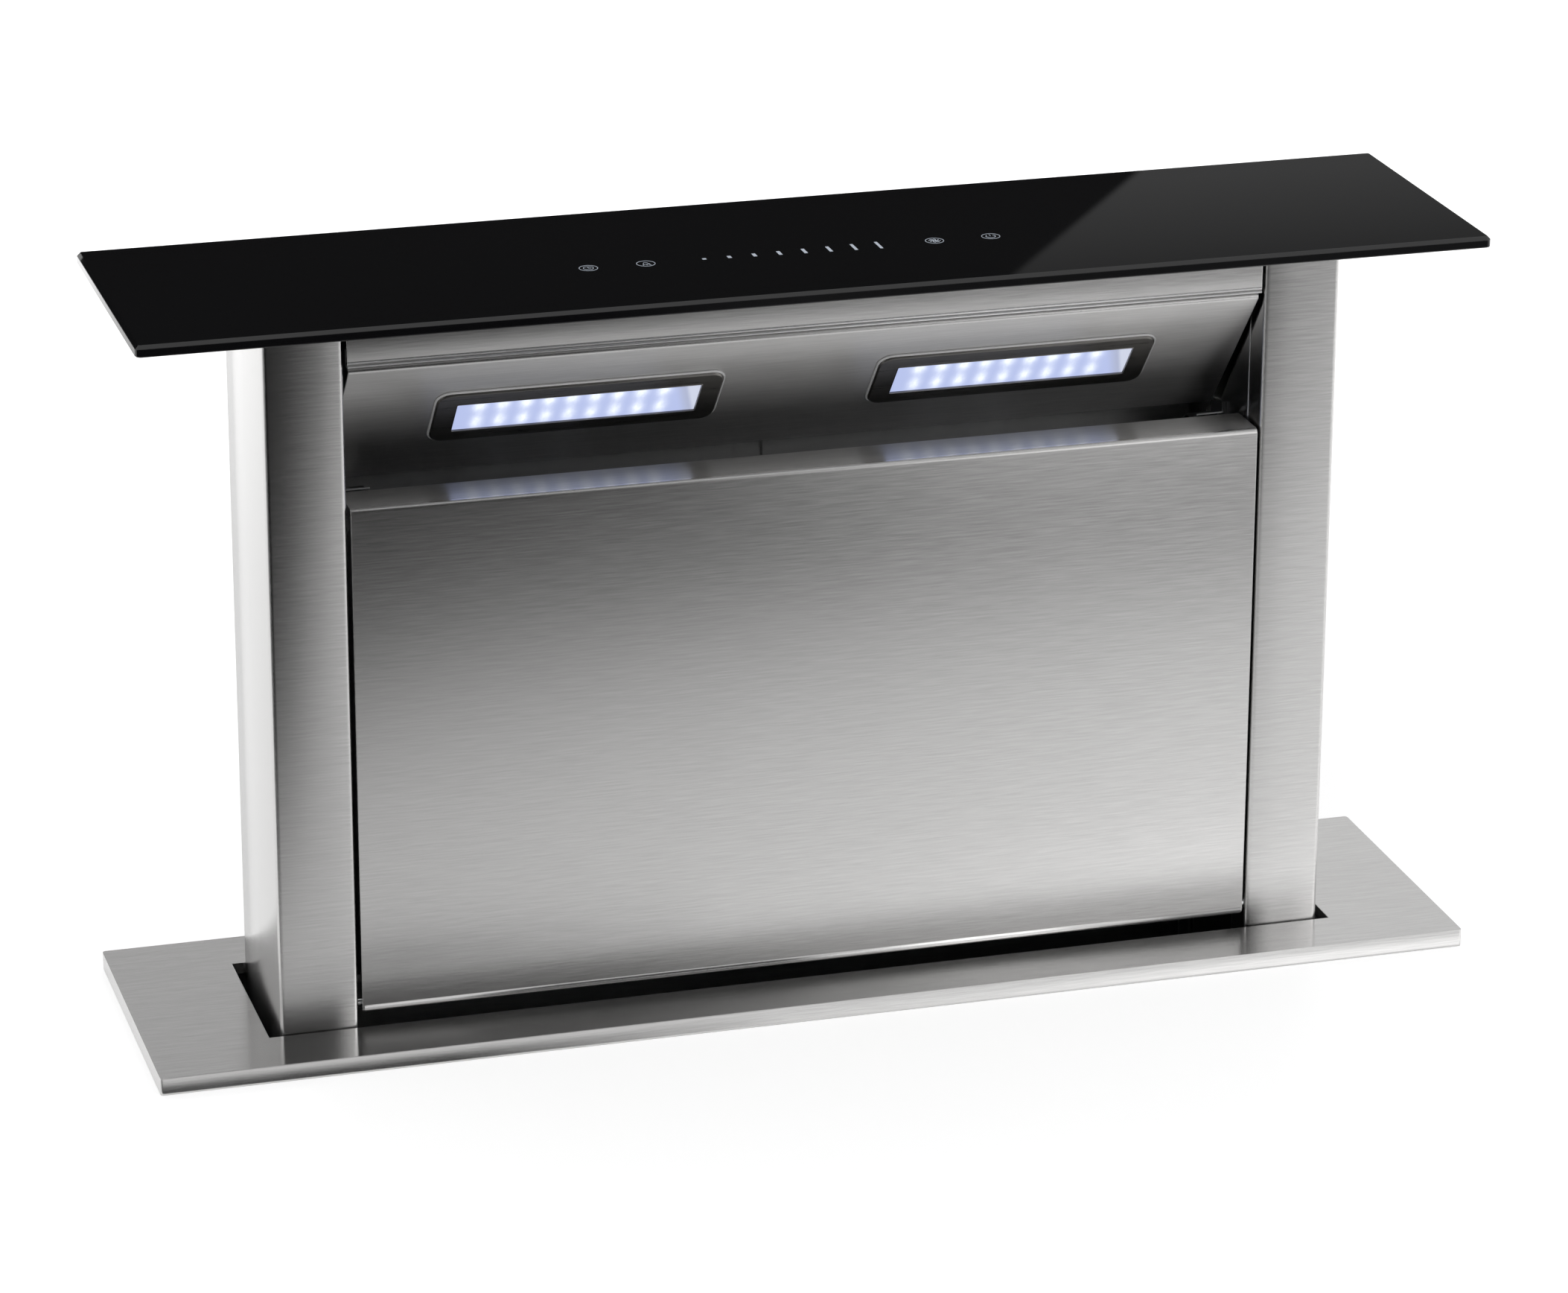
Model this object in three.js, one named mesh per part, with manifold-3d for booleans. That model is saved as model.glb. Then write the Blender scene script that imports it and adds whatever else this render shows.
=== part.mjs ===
// A 60 cm downdraft vent: a glass-topped steel tower that rises out of a slot in a worktop plate,
// and the chassis under the worktop that lifts it and draws the air down.
// Millimetres, +Z up, +X to the cook's right, -Y towards the cook.
// The origin is the middle of the worktop cut-out, at the worktop's surface.
// The tower is modelled raised, as in use.

import * as THREE from 'three';
import { mergeVertices } from 'three/addons/utils/BufferGeometryUtils.js';
import Module from 'manifold-3d';

const wasm = await Module();
wasm.setup();

// ---- driving dimensions ------------------------------------------------------------------

const SHEET = 1.2; // stainless sheet
const SEAT = 0.3; // gap between pieces that touch
const BEND = 1.8; // bend radius at the middle of the sheet

const PLATE_W = 600; // trim plate on the worktop
const PLATE_D = 144;
const PLATE_H = 8;
const PLATE_RETURN = 14; // folded edge that lies on the worktop
const PLATE_CORNER = 1.5;
const SLOT_FOLD = 4; // downward fold round the slot
const SLOT_SIDE_GAP = 5.5; // slot past the tower at each end
const SLOT_FACE_GAP = 1.2; // slot past the tower in front and behind

const TOWER_W = 482;
const TOWER_D = 82;
const TOWER_TAIL = 60; // how far the raised tower still reaches below the worktop
const COLUMN_FACE = 35; // width of each column's face
const COLUMN_RETURN = 16; // inward fold at the column's edge
const PANEL_SIDE_GAP = 1.5; // between front panel and column

const GLASS_W = 598;
const GLASS_D = 144;
const GLASS_T = 5;
const GLASS_TOP = 336; // glass surface above the worktop
const GLASS_BEVEL = 1.5;
const GLASS_CORNER = 2.5;
const CARRIER_INSET_X = 14; // steel carrier inside the glass edge
const CARRIER_INSET_Y = 10;
const PARK_GAP = 1.5; // carrier above the plate when the tower is down

const LINER_LIP = 9; // folds of the sheet that closes a column
const REAR_LIP = 13; // folds at the rear sheet's ends
const HEADER_HEM = 3.2; // how far back the header's lower edge is folded
const HEADER_H = 20; // band under the glass, visible part and hidden part
const LIP_GAP = 0.9; // between header hem and the lamp panel's lip
const SOFFIT_RUN = 68; // lamp panel: how far back it slopes
const SOFFIT_DROP = 79; // and how far down
const SOFFIT_BEND = 16; // radius of the cove under the slope
const SOFFIT_APRON = 26; // upright part under the cove
const LIP_UPSTAND = 9; // lamp panel behind the header

const PANEL_BOTTOM = 6.5; // front panel's lower edge above the plate
const INTAKE_H = 89.5; // from its upper edge up to the glass's face
const PANEL_FLANGE = 25; // depth of its top flange
const PANEL_EDGE = 12; // depth of its other folded edges
const PANEL_HEM = 7; // fold down at the flange's end
const TONGUE_T = 1.5; // tongue that the catch grips
const TONGUE_REACH = 8; // tongue past the grip
const HINGE_ROD_R = 1.8;
const HINGE_CLEAR = 0.35;

const LAMP_SPACING = 197; // between the two lamps' middles
const LAMP_W = 127; // lamp bezel
const LAMP_H = 36.5;
const LAMP_CORNER = 6;
const LAMP_DEPTH = 9; // bezel's collar behind the sheet
const BEZEL_T = 1.5; // bezel rim, proud of the sheet
const BEZEL_CHAMFER = 0.6;
const WINDOW_W = 108; // lit window
const WINDOW_H = 20.5;
const LAMP_DOWN = 42; // from the lip down the slope to the lamp's middle
const LENS_T = 1.6;
const LENS_DEPTH = 0.6; // lens behind the bezel's face
const LED_COUNT = 9; // per row
const LED_ROWS = 2;
const LED_PITCH = 10.2;
const LED_SHIFT = -3; // the rows stand off-centre, beside their plug
const LED_W = 3.4;
const LED_H = 2.8;
const BOARD_Z = -7.2; // face of the LED board, from the lamp sheet's face
const BOARD_T = 1.4;

const FILTER_T = 9;
const FILTER_FRAME = 12;
const FILTER_PITCH_X = 36; // diamond openings
const FILTER_PITCH_Y = 30;
const MESH_T = 2; // sheet inside the frame
const SILL_FRONT = 16; // channel that the filters stand in
const SILL_BACK = 8;
const BAIL_W = 58;
const BAIL_DROP = 26;
const BAIL_WIRE_R = 1.5;

const TOUCH_W = 206;
const TOUCH_D = 34;
const TOUCH_H = 10;
const TOUCH_OFFSET_X = -2;
const TOUCH_OFFSET_Y = -12;

const CHASSIS_W = 548;
const CHASSIS_D = 106;
const MOTOR_ROOM = 160; // from the drive shelf down to the chassis base
const CHASSIS_FLANGE = 24; // vertical folds of the side channels
const CHASSIS_FOLD = 14; // inward fold at the foot of the front and rear sheets
const CHASSIS_EARS = 2.5; // chassis's upper folds stop this far from the plate's slot
const BASE_H = 16; // tray that closes the chassis
const BEAD_H = 20; // pressed bead that stiffens a tall sheet
const BEAD_FLAT = 12;
const BEAD_DEPTH = 3;
const INTAKE_HOLE = 12; // hole in the chassis, wider than the blower's inlet

const WORKTOP_T = 30; // thinnest worktop that the clamps hold
const CLAMP_W = 36; // clamp's plate on the chassis side
const CLAMP_Z = [-96, -44];
const CLAMP_T = 2;
const CLAMP_ARM_Z = -60;
const CLAMP_ARM_W = 24;
const CLAMP_REACH = 22;
const CLAMP_SCREW_R = 3;
const CLAMP_PAD_R = 7;
const CLAMP_HEAD_R = 5;
const BRACKET_W = 52; // floor bracket
const BRACKET_H = 56;
const BRACKET_FOOT = 25;
const BRACKET_T = 2.5;
const BRACKET_HOLE_R = 3.2;
const BOLT_OUT = 14; // clamp screw and bracket hole from the chassis side

const RAIL_D = 30;
const RAIL_H = 18.5;
const RAIL_WALL = 2;
const RAIL_LIP = 8.5;
const RAIL_TOP = 12; // guide rail's upper end below the worktop
const RAIL_SPARE = 80; // rail past the lift's stroke
const SHOE_PLAY = 1.2; // shoe in the rail, each side
const FOOT_T = 4; // plate under the column

const SCREW_R = 5;
const SCREW_INSET = 19; // screw from the tower's outer face
const SCREW_Y = 10;
const NUT_ROOM = 60; // from the lowered tower's foot down to the drive shelf
const NUT_R = 10;
const NUT_FLANGE_R = 14;
const NUT_FLANGE_T = 4;
const NUT_H = 24;
const SHELF_T = 2;
const SHELF_D = 92;
const PULLEY_R = 16;
const PULLEY_TEETH = 12;
const TOOTH_DEPTH = 0.9;
const PULLEY_RIM = 2.5; // flange past the teeth
const RIM_T = 1;
const PULLEY_RISE = 16; // pulleys above the drive shelf
const JOURNAL_R = 4.2; // lead screw in its bearing
const SCREW_ABOVE = 26; // lead screw past the raised tower's foot
const BELT_T = 1.5;
const BELT_W = 9;
const MOTOR_Y = -22; // lift motor's shaft
const MOTOR_SHAFT_R = 4;
const GEARBOX = [50, 40, 36];
const SWITCH_X = 156; // limit switches on the chassis's rear sheet
const SWITCH = [20, 6.5, 11];

const FAN_RISE = 110; // blower axis above the drive shelf
const WHEEL_R = 94;
const BLADE_DEPTH = 16;
const WHEEL_W = 82;
const WHEEL_BLADES = 28;
const WHEEL_IN = 10; // wheel's mouth behind the scroll's face
const WHEEL_PLATE = 2.5; // back plate
const WHEEL_RING = 3; // ring round the mouth
const FAN_SHAFT_R = 5;
const SCROLL_GAP = 10; // between wheel and scroll at the tongue
const SCROLL_GROWTH = 54; // how much wider the scroll is at its outlet
const SCROLL_START = -30; // degrees, at the tongue
const SCROLL_END = 270;
const SCROLL_D = 104;
const SCROLL_WALL = 1.5;
const OUTLET_REACH = 8; // scroll's outlet past the tongue's radius
const INLET_LAP = 8; // how far the inlet bell stands inside the blades
const DUCT_R = 75; // outside of the duct collar
const COLLAR_WALL = 2;
const ADAPTER_RUN = 70; // rectangle to circle
const COLLAR_LENGTH = 80;
const DUCT_CLEAR = 4; // collar in front of the chassis
const FLAP_T = 1;
const FLAP_GAP = 1.2; // flap's rim inside the collar
const FLAP_IN = 6; // damper pin past the collar's start
const PIN_R = 2;
const KNUCKLE_R = 3.9; // flap's sleeves round the pin

const BOX_X0 = -262; // control box on the chassis's front
const BOX_X1 = -166;
const BOX_Z0 = -194;
const BOX_Z1 = -98;
const BOX_D = 42;
const BOX_WALL = 2;
const GLAND_UP = 24; // mains gland above the box's floor

// ---- worked-out levels -------------------------------------------------------------------

const TOWER_X = TOWER_W / 2;
const TOWER_Y = TOWER_D / 2;
const FRONT = -TOWER_Y; // the tower's front face
const SLOT_X = TOWER_X + SLOT_SIDE_GAP;
const SLOT_Y = TOWER_Y + SLOT_FACE_GAP;
const INNER_X = TOWER_X - COLUMN_FACE; // column's inner face
const PANEL_X = INNER_X - PANEL_SIDE_GAP;
const GLASS_Z = GLASS_TOP - GLASS_T;
const CARRIER_Z = GLASS_Z - SEAT - SHEET;
const TOWER_TOP = CARRIER_Z - SEAT;
const TRAVEL = CARRIER_Z - PLATE_H - PARK_GAP; // stroke of the lift
const HEADER_Z = TOWER_TOP - HEADER_H;
const LIP_Z = HEADER_Z - LIP_GAP - SHEET / 2;
const SOFFIT_ANGLE = Math.atan2(SOFFIT_DROP, SOFFIT_RUN);
const PANEL_Z0 = PLATE_H + PANEL_BOTTOM;
const PANEL_TOP = GLASS_TOP - INTAKE_H;
const HINGE_Y = FRONT + SHEET + BEND + 1;
const HINGE_Z = PANEL_Z0 + SHEET + BEND + 0.8;
const SCREW_X = TOWER_X - SCREW_INSET;
const CHASSIS_X = CHASSIS_W / 2;
const CHASSIS_Y = CHASSIS_D / 2;
const TAIL_Z = -TOWER_TAIL;
const SHELF_Z = TAIL_Z - TRAVEL - NUT_ROOM; // top of the drive shelf
const CHASSIS_H = MOTOR_ROOM - SHELF_Z; // depth below the worktop
const RAIL_LENGTH = TRAVEL + RAIL_SPARE;
const FAN_Z = SHELF_Z + FAN_RISE;
const WHEEL_INNER_R = WHEEL_R - BLADE_DEPTH;
const INLET_R = WHEEL_INNER_R - INLET_LAP;
const SCROLL_R0 = WHEEL_R + SCROLL_GAP; // scroll radius at the tongue
const SCROLL_R1 = SCROLL_R0 + SCROLL_GROWTH; // and at the outlet
const OUTLET_X = SCROLL_R0 + OUTLET_REACH;
const COLLAR_X0 = OUTLET_X + ADAPTER_RUN;
const COLLAR_X1 = COLLAR_X0 + COLLAR_LENGTH;

// ---- solids from three.js geometry --------------------------------------------------------

function solid(geometry) {
  geometry.deleteAttribute('normal');
  geometry.deleteAttribute('uv');
  const merged = mergeVertices(geometry);
  const at = merged.attributes.position;
  const corner = [0, 1, 2].map(() => new THREE.Vector3());
  const triangles = [];
  let volume = 0;
  for (let i = 0; i < merged.index.count; i += 3) {
    const three = [0, 1, 2].map((k) => merged.index.getX(i + k));
    if (new Set(three).size < 3) continue;
    three.forEach((v, k) => corner[k].fromBufferAttribute(at, v));
    volume += corner[0].dot(corner[1].cross(corner[2]));
    triangles.push(three);
  }
  const facing = volume < 0 ? triangles.map(([a, b, c]) => [a, c, b]) : triangles;
  return new wasm.Manifold(
    new wasm.Mesh({
      numProp: 3,
      vertProperties: new Float32Array(at.array),
      triVerts: new Uint32Array(facing.flat()),
    })
  );
}

function block(x0, x1, y0, y1, z0, z1) {
  const size = [x1 - x0, y1 - y0, z1 - z0].map(Math.abs);
  const geometry = new THREE.BoxGeometry(...size);
  geometry.translate((x0 + x1) / 2, (y0 + y1) / 2, (z0 + z1) / 2);
  return solid(geometry);
}

function outlineShape(points) {
  return new THREE.Shape(points.map(([u, v]) => new THREE.Vector2(u, v)));
}

function prism(shape, length, curveSegments = 3) {
  return new THREE.ExtrudeGeometry(shape, { depth: length, bevelEnabled: false, curveSegments });
}

// shape in Y and Z, extruded along X
function alongX(shape, x0, x1) {
  const geometry = prism(shape, x1 - x0);
  geometry.applyMatrix4(new THREE.Matrix4().set(0, 0, 1, x0, 1, 0, 0, 0, 0, 1, 0, 0, 0, 0, 0, 1));
  return solid(geometry);
}

// shape in X and Z, extruded along Y
function alongY(shape, y0, y1) {
  const geometry = prism(shape, y1 - y0);
  geometry.applyMatrix4(new THREE.Matrix4().set(1, 0, 0, 0, 0, 0, -1, y1, 0, 1, 0, 0, 0, 0, 0, 1));
  return solid(geometry);
}

// shape in X and Y, extruded along Z
function alongZ(shape, z0, z1) {
  const geometry = prism(shape, z1 - z0);
  geometry.translate(0, 0, z0);
  return solid(geometry);
}

function rodX(r, x0, x1, y, z, sides = 20) {
  const geometry = new THREE.CylinderGeometry(r, r, Math.abs(x1 - x0), sides);
  geometry.rotateZ(Math.PI / 2);
  geometry.translate((x0 + x1) / 2, y, z);
  return solid(geometry);
}

function rodY(r, y0, y1, x, z, sides = 32) {
  const geometry = new THREE.CylinderGeometry(r, r, Math.abs(y1 - y0), sides);
  geometry.translate(x, (y0 + y1) / 2, z);
  return solid(geometry);
}

function rodZ(r, z0, z1, x, y, sides = 16) {
  const geometry = new THREE.CylinderGeometry(r, r, Math.abs(z1 - z0), sides);
  geometry.rotateX(Math.PI / 2);
  geometry.translate(x, y, (z0 + z1) / 2);
  return solid(geometry);
}

// profile of [radius, height] pairs, turned about a line along Z
function turnedZ(profile, x, y, sides = 24) {
  const geometry = new THREE.LatheGeometry(profile.map(([r, h]) => new THREE.Vector2(r, h)), sides);
  geometry.rotateX(Math.PI / 2);
  geometry.translate(x, y, 0);
  return solid(geometry);
}

// profile of [radius, y] pairs, turned about a line along Y
function turnedY(profile, x, z, sides = 32) {
  const geometry = new THREE.LatheGeometry(profile.map(([r, h]) => new THREE.Vector2(r, h)), sides);
  geometry.translate(x, 0, z);
  return solid(geometry);
}

// skin over rings of equally many points, with a fan at each end
function loft(rings) {
  const count = rings[0].length;
  const points = rings.flat();
  const triangles = [];
  for (let r = 0; r + 1 < rings.length; r++) {
    for (let i = 0; i < count; i++) {
      const a = r * count + i;
      const b = r * count + ((i + 1) % count);
      triangles.push(a, b, b + count, a, b + count, a + count);
    }
  }
  for (const [ring, first] of [[rings[0], 0], [rings.at(-1), (rings.length - 1) * count]]) {
    const middle = points.length;
    const sum = ring.reduce((s, p) => s.add(p), new THREE.Vector3());
    points.push(sum.divideScalar(count));
    for (let i = 0; i < count; i++) {
      const pair = [first + i, first + ((i + 1) % count)];
      if (first === 0) pair.reverse();
      triangles.push(middle, ...pair);
    }
  }
  const geometry = new THREE.BufferGeometry().setFromPoints(points);
  geometry.setIndex(triangles);
  return solid(geometry);
}

function roundedRectangle(width, height, r) {
  const x = width / 2;
  const y = height / 2;
  const shape = new THREE.Shape();
  shape.absarc(x - r, y - r, r, 0, Math.PI / 2);
  shape.absarc(r - x, y - r, r, Math.PI / 2, Math.PI);
  shape.absarc(r - x, r - y, r, Math.PI, 1.5 * Math.PI);
  shape.absarc(x - r, r - y, r, 1.5 * Math.PI, 2 * Math.PI);
  return shape;
}

// the same path with an arc of the given radius at each inner point
function roundBends(points, radius, steps) {
  const path = [points[0]];
  for (let i = 1; i + 1 < points.length; i++) {
    const here = new THREE.Vector2(...points[i]);
    const back = new THREE.Vector2(...points[i - 1]).sub(here);
    const on = new THREE.Vector2(...points[i + 1]).sub(here);
    const half = Math.acos(back.dot(on) / back.length() / on.length()) / 2;
    const bend = Array.isArray(radius) ? radius[i - 1] : radius;
    const reach = Math.min(bend / Math.tan(half), back.length() / 2.01, on.length() / 2.01);
    const r = reach * Math.tan(half);
    const middle = back.clone().normalize().add(on.clone().normalize()).normalize();
    const centre = here.clone().addScaledVector(middle, r / Math.sin(half));
    const from = here.clone().addScaledVector(back.normalize(), reach).sub(centre);
    const to = here.clone().addScaledVector(on.normalize(), reach).sub(centre);
    const turn = Math.atan2(from.cross(to), from.dot(to));
    for (let k = 0; k <= steps; k++) {
      const p = from.clone().rotateAround(new THREE.Vector2(), (turn * k) / steps).add(centre);
      path.push([p.x, p.y]);
    }
  }
  path.push(points.at(-1));
  return path;
}

// outline of a folded sheet whose middle runs along the points
function foldedSheet(points, radius = BEND, thickness = SHEET, steps = 3) {
  const path = roundBends(points, radius, steps).map(([u, v]) => new THREE.Vector2(u, v));
  const normals = path.slice(1).map((p, i) => {
    const along = p.clone().sub(path[i]).normalize();
    return new THREE.Vector2(-along.y, along.x);
  });
  const sides = [1, -1].map((side) =>
    path.map((p, i) => {
      const before = normals[Math.max(i - 1, 0)];
      const after = normals[Math.min(i, normals.length - 1)];
      const mitre = before.clone().add(after).divideScalar(1 + before.dot(after));
      return p.clone().addScaledVector(mitre, (side * thickness) / 2);
    })
  );
  return new THREE.Shape([...sides[0], ...sides[1].reverse()]);
}

function placed(part, matrix) {
  return part.transform(matrix.toArray());
}

// ---- the group ----------------------------------------------------------------------------

const STEEL = { color: 0xb4b6b8, roughness: 0.32, metalness: 1 };
const ZINC = { color: 0x9aa0a4, roughness: 0.45, metalness: 1 };
const CHROME = { color: 0xe2e4e6, roughness: 0.08, metalness: 1 };
const ALUMINIUM = { color: 0xc6c8ca, roughness: 0.4, metalness: 1 };
const BLACK_GLASS = { color: 0x0b0c0d, roughness: 0.04, metalness: 0 };
const BLACK_PLASTIC = { color: 0x1b1c1e, roughness: 0.5, metalness: 0 };
const DARK_TRIM = { color: 0x2c2d2f, roughness: 0.3, metalness: 0.6 };
const GREY_PLASTIC = { color: 0x6b6e72, roughness: 0.55, metalness: 0 };
const WHITE_PLASTIC = { color: 0xe8e8e4, roughness: 0.5, metalness: 0 };
const LENS = { color: 0xdfe8ff, roughness: 0.25, metalness: 0 };
const BOARD = { color: 0xe9ecef, roughness: 0.5, metalness: 0 };
const BRASS = { color: 0xb08d4a, roughness: 0.4, metalness: 1 };
const RUBBER = { color: 0x161616, roughness: 0.8, metalness: 0 };

const vent = new THREE.Group();

function add(name, part, finish) {
  const mesh = part.getMesh();
  const geometry = new THREE.BufferGeometry();
  geometry.setAttribute('position', new THREE.BufferAttribute(mesh.vertProperties, 3));
  geometry.setIndex(new THREE.BufferAttribute(mesh.triVerts, 1));
  geometry.computeVertexNormals();
  const piece = new THREE.Mesh(geometry, new THREE.MeshStandardMaterial(finish));
  piece.name = name;
  vent.add(piece);
  return piece;
}

const SIDES = [['left', -1], ['right', 1]];

// ---- worktop plate and chassis ------------------------------------------------------------

function worktopPlate() {
  const x = PLATE_W / 2;
  const y = PLATE_D / 2;
  const skin = PLATE_H - SHEET;
  const u = SLOT_X + SHEET;
  const v = SLOT_Y + SHEET;
  const collar = block(-u, u, -v, v, skin - SLOT_FOLD, skin);
  return alongZ(roundedRectangle(PLATE_W, PLATE_D, PLATE_CORNER), 0, PLATE_H)
    .subtract(block(SHEET - x, x - SHEET, SHEET - y, y - SHEET, SHEET, skin))
    .subtract(block(PLATE_RETURN - x, x - PLATE_RETURN, PLATE_RETURN - y, y - PLATE_RETURN, -1, skin))
    .add(collar)
    .subtract(block(-SLOT_X, SLOT_X, -SLOT_Y, SLOT_Y, -1, PLATE_H + 1));
}

const BEAD_TOP = -80; // the front sheet's highest bead
const REAR_BEAD_TOP = -110;
const BEAD_LOW = FAN_Z - 220; // the lowest bead, under the blower

// a tall sheet with a fold at the top and bottom and pressed beads across it
function chassisSheet(side, beads) {
  const y = side * (CHASSIS_Y - SHEET / 2);
  const top = PLATE_H - SHEET - SEAT - SHEET / 2;
  const bottom = SHEET / 2 - CHASSIS_H;
  const path = [[side * (SLOT_Y + CHASSIS_EARS), top], [y, top]];
  for (const z of beads) {
    const out = y + side * BEAD_DEPTH;
    path.push([y, z + BEAD_H / 2], [out, z + BEAD_FLAT / 2], [out, z - BEAD_FLAT / 2], [y, z - BEAD_H / 2]);
  }
  path.push([y, bottom], [side * (CHASSIS_Y - CHASSIS_FOLD), bottom]);
  const x = CHASSIS_X - SHEET - SEAT;
  return alongX(foldedSheet(path, 1.5, SHEET, 2), -x, x);
}

function chassisFront() {
  return chassisSheet(-1, [BEAD_TOP, BEAD_LOW]).subtract(
    rodY(INLET_R + INTAKE_HOLE, -CHASSIS_Y - 5, -CHASSIS_Y + 5, 0, FAN_Z, 28)
  );
}

function chassisRear() {
  return chassisSheet(1, [REAR_BEAD_TOP, FAN_Z, BEAD_LOW]);
}

function chassisSide(side) {
  const outer = side * CHASSIS_X;
  const web = side * (CHASSIS_X - SHEET);
  const edge = side * (CHASSIS_X - CHASSIS_FLANGE);
  const top = PLATE_H - SHEET - SEAT;
  const y = CHASSIS_Y - SHEET - SEAT;
  let part = block(outer, web, -CHASSIS_Y, CHASSIS_Y, -CHASSIS_H, top);
  for (const face of [-1, 1]) {
    const foot = 3 - CHASSIS_H; // clear of the base's fold
    part = part.add(block(outer, edge, face * y, face * (y - SHEET), foot, top - SHEET - 1));
  }
  const ear = SLOT_Y + 1.2;
  return part.add(block(outer, side * (SLOT_X + CHASSIS_EARS), -ear, ear, top - SHEET, top));
}

function chassisBase() {
  const x = CHASSIS_X - SHEET - SEAT;
  const y = CHASSIS_Y - 2 * SHEET - 2 * SEAT;
  const z = SHEET + SEAT - CHASSIS_H;
  return block(-x, x, -y, y, z, z + BASE_H).subtract(
    block(SHEET - x, x - SHEET, SHEET - y, y - SHEET, z + SHEET, z + BASE_H + 4)
  );
}

function guideRail(side) {
  const outer = CHASSIS_X - SHEET - SEAT;
  const inner = outer - RAIL_H;
  const half = RAIL_D / 2;
  const lip = half - RAIL_LIP;
  const z1 = -RAIL_TOP;
  const z0 = z1 - RAIL_LENGTH;
  const deep = half - RAIL_WALL;
  return block(side * outer, side * inner, -half, half, z0, z1)
    .subtract(block(side * (outer - RAIL_WALL), side * (inner + RAIL_WALL), -deep, deep, z0 - 1, 0))
    .subtract(block(side * (inner - 1), side * (inner + RAIL_WALL + 1), -lip, lip, z0 - 1, 0));
}

function worktopClamp(side) {
  const x = CHASSIS_X + SEAT;
  const bolt = side * (x + BOLT_OUT);
  const arm = CLAMP_ARM_Z - CLAMP_T;
  const pad = -WORKTOP_T - 3;
  return block(side * x, side * (x + CLAMP_T), -CLAMP_W / 2, CLAMP_W / 2, ...CLAMP_Z)
    .add(block(side * x, side * (x + CLAMP_REACH), -CLAMP_ARM_W / 2, CLAMP_ARM_W / 2, arm, CLAMP_ARM_Z))
    .add(block(side * x, side * (x + 12), -1, 1, arm - 12, CLAMP_ARM_Z))
    .add(rodZ(CLAMP_SCREW_R, -84, pad, bolt, 0, 10))
    .add(rodZ(CLAMP_PAD_R, pad, -WORKTOP_T, bolt, 0, 14))
    .add(rodZ(CLAMP_HEAD_R, -88, -84, bolt, 0, 6));
}

function floorBracket(side) {
  const x = CHASSIS_X + SEAT;
  const half = BRACKET_W / 2;
  const z = -CHASSIS_H;
  const hole = rodZ(BRACKET_HOLE_R, z - 1, z + 5, side * (x + BOLT_OUT), 0, 16);
  let part = block(side * x, side * (x + BRACKET_T), -half, half, z, z + BRACKET_H).add(
    block(side * x, side * (x + BRACKET_FOOT), -half, half, z, z + BRACKET_T)
  );
  const rib = outlineShape([[side * x, z + 2], [side * (x + 20), z + 2], [side * x, z + 30]]);
  for (const y of [4 - half, half - 4]) {
    part = part.add(alongY(rib, y - 1, y + 1));
  }
  return part.subtract(hole);
}

// ---- lift drive ---------------------------------------------------------------------------

const PULLEY_Z = SHELF_Z + PULLEY_RISE; // underside of the pulleys
const PULLEY_H = BELT_W + 3;

function toothedPulley(x, y) {
  const points = [];
  for (let i = 0; i < PULLEY_TEETH; i++) {
    for (const [step, r] of [[0, 0], [0.3, 0], [0.45, -TOOTH_DEPTH], [0.85, -TOOTH_DEPTH]]) {
      const a = ((i + step) / PULLEY_TEETH) * 2 * Math.PI;
      points.push([x + (PULLEY_R + r) * Math.cos(a), y + (PULLEY_R + r) * Math.sin(a)]);
    }
  }
  const rims = [PULLEY_Z, PULLEY_Z + PULLEY_H - RIM_T].map((z) =>
    rodZ(PULLEY_R + PULLEY_RIM, z, z + RIM_T, x, y)
  );
  return alongZ(outlineShape(points), PULLEY_Z, PULLEY_Z + PULLEY_H).add(rims[0]).add(rims[1]);
}

function leadScrew(side) {
  const top = TAIL_Z + SCREW_ABOVE;
  const low = SHELF_Z - 8;
  const tip = 1.5;
  const shaft = turnedZ(
    [[0, low], [JOURNAL_R - 0.6, low], [JOURNAL_R, low + 1], [JOURNAL_R, PULLEY_Z], [SCREW_R, PULLEY_Z + 2],
      [SCREW_R, top - tip], [SCREW_R - tip, top], [0, top]],
    side * SCREW_X, SCREW_Y, 16
  );
  return toothedPulley(side * SCREW_X, SCREW_Y).add(shaft);
}

function motorPulley() {
  const tip = PULLEY_Z + PULLEY_H + 2;
  return toothedPulley(0, MOTOR_Y).add(rodZ(MOTOR_SHAFT_R, SHELF_Z - 26, tip, 0, MOTOR_Y));
}

// stretched round the three pulleys
function beltOutline(r) {
  const centres = [[-SCREW_X, SCREW_Y], [0, MOTOR_Y], [SCREW_X, SCREW_Y]];
  const points = [];
  centres.forEach(([x, y], i) => {
    const [px, py] = centres[(i + 2) % 3];
    const [nx, ny] = centres[(i + 1) % 3];
    const from = Math.atan2(y - py, x - px) - Math.PI / 2;
    let to = Math.atan2(ny - y, nx - x) - Math.PI / 2;
    while (to < from) to += 2 * Math.PI;
    const steps = Math.max(2, Math.round((to - from) / 0.2));
    for (let k = 0; k <= steps; k++) {
      const a = from + ((to - from) * k) / steps;
      points.push([x + r * Math.cos(a), y + r * Math.sin(a)]);
    }
  });
  return points;
}

function driveBelt() {
  const inner = PULLEY_R + SEAT;
  const shape = outlineShape(beltOutline(inner + BELT_T));
  shape.holes.push(new THREE.Path(beltOutline(inner).map(([x, y]) => new THREE.Vector2(x, y))));
  const z = PULLEY_Z + (PULLEY_H - BELT_W) / 2;
  return alongZ(shape, z, z + BELT_W);
}

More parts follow.
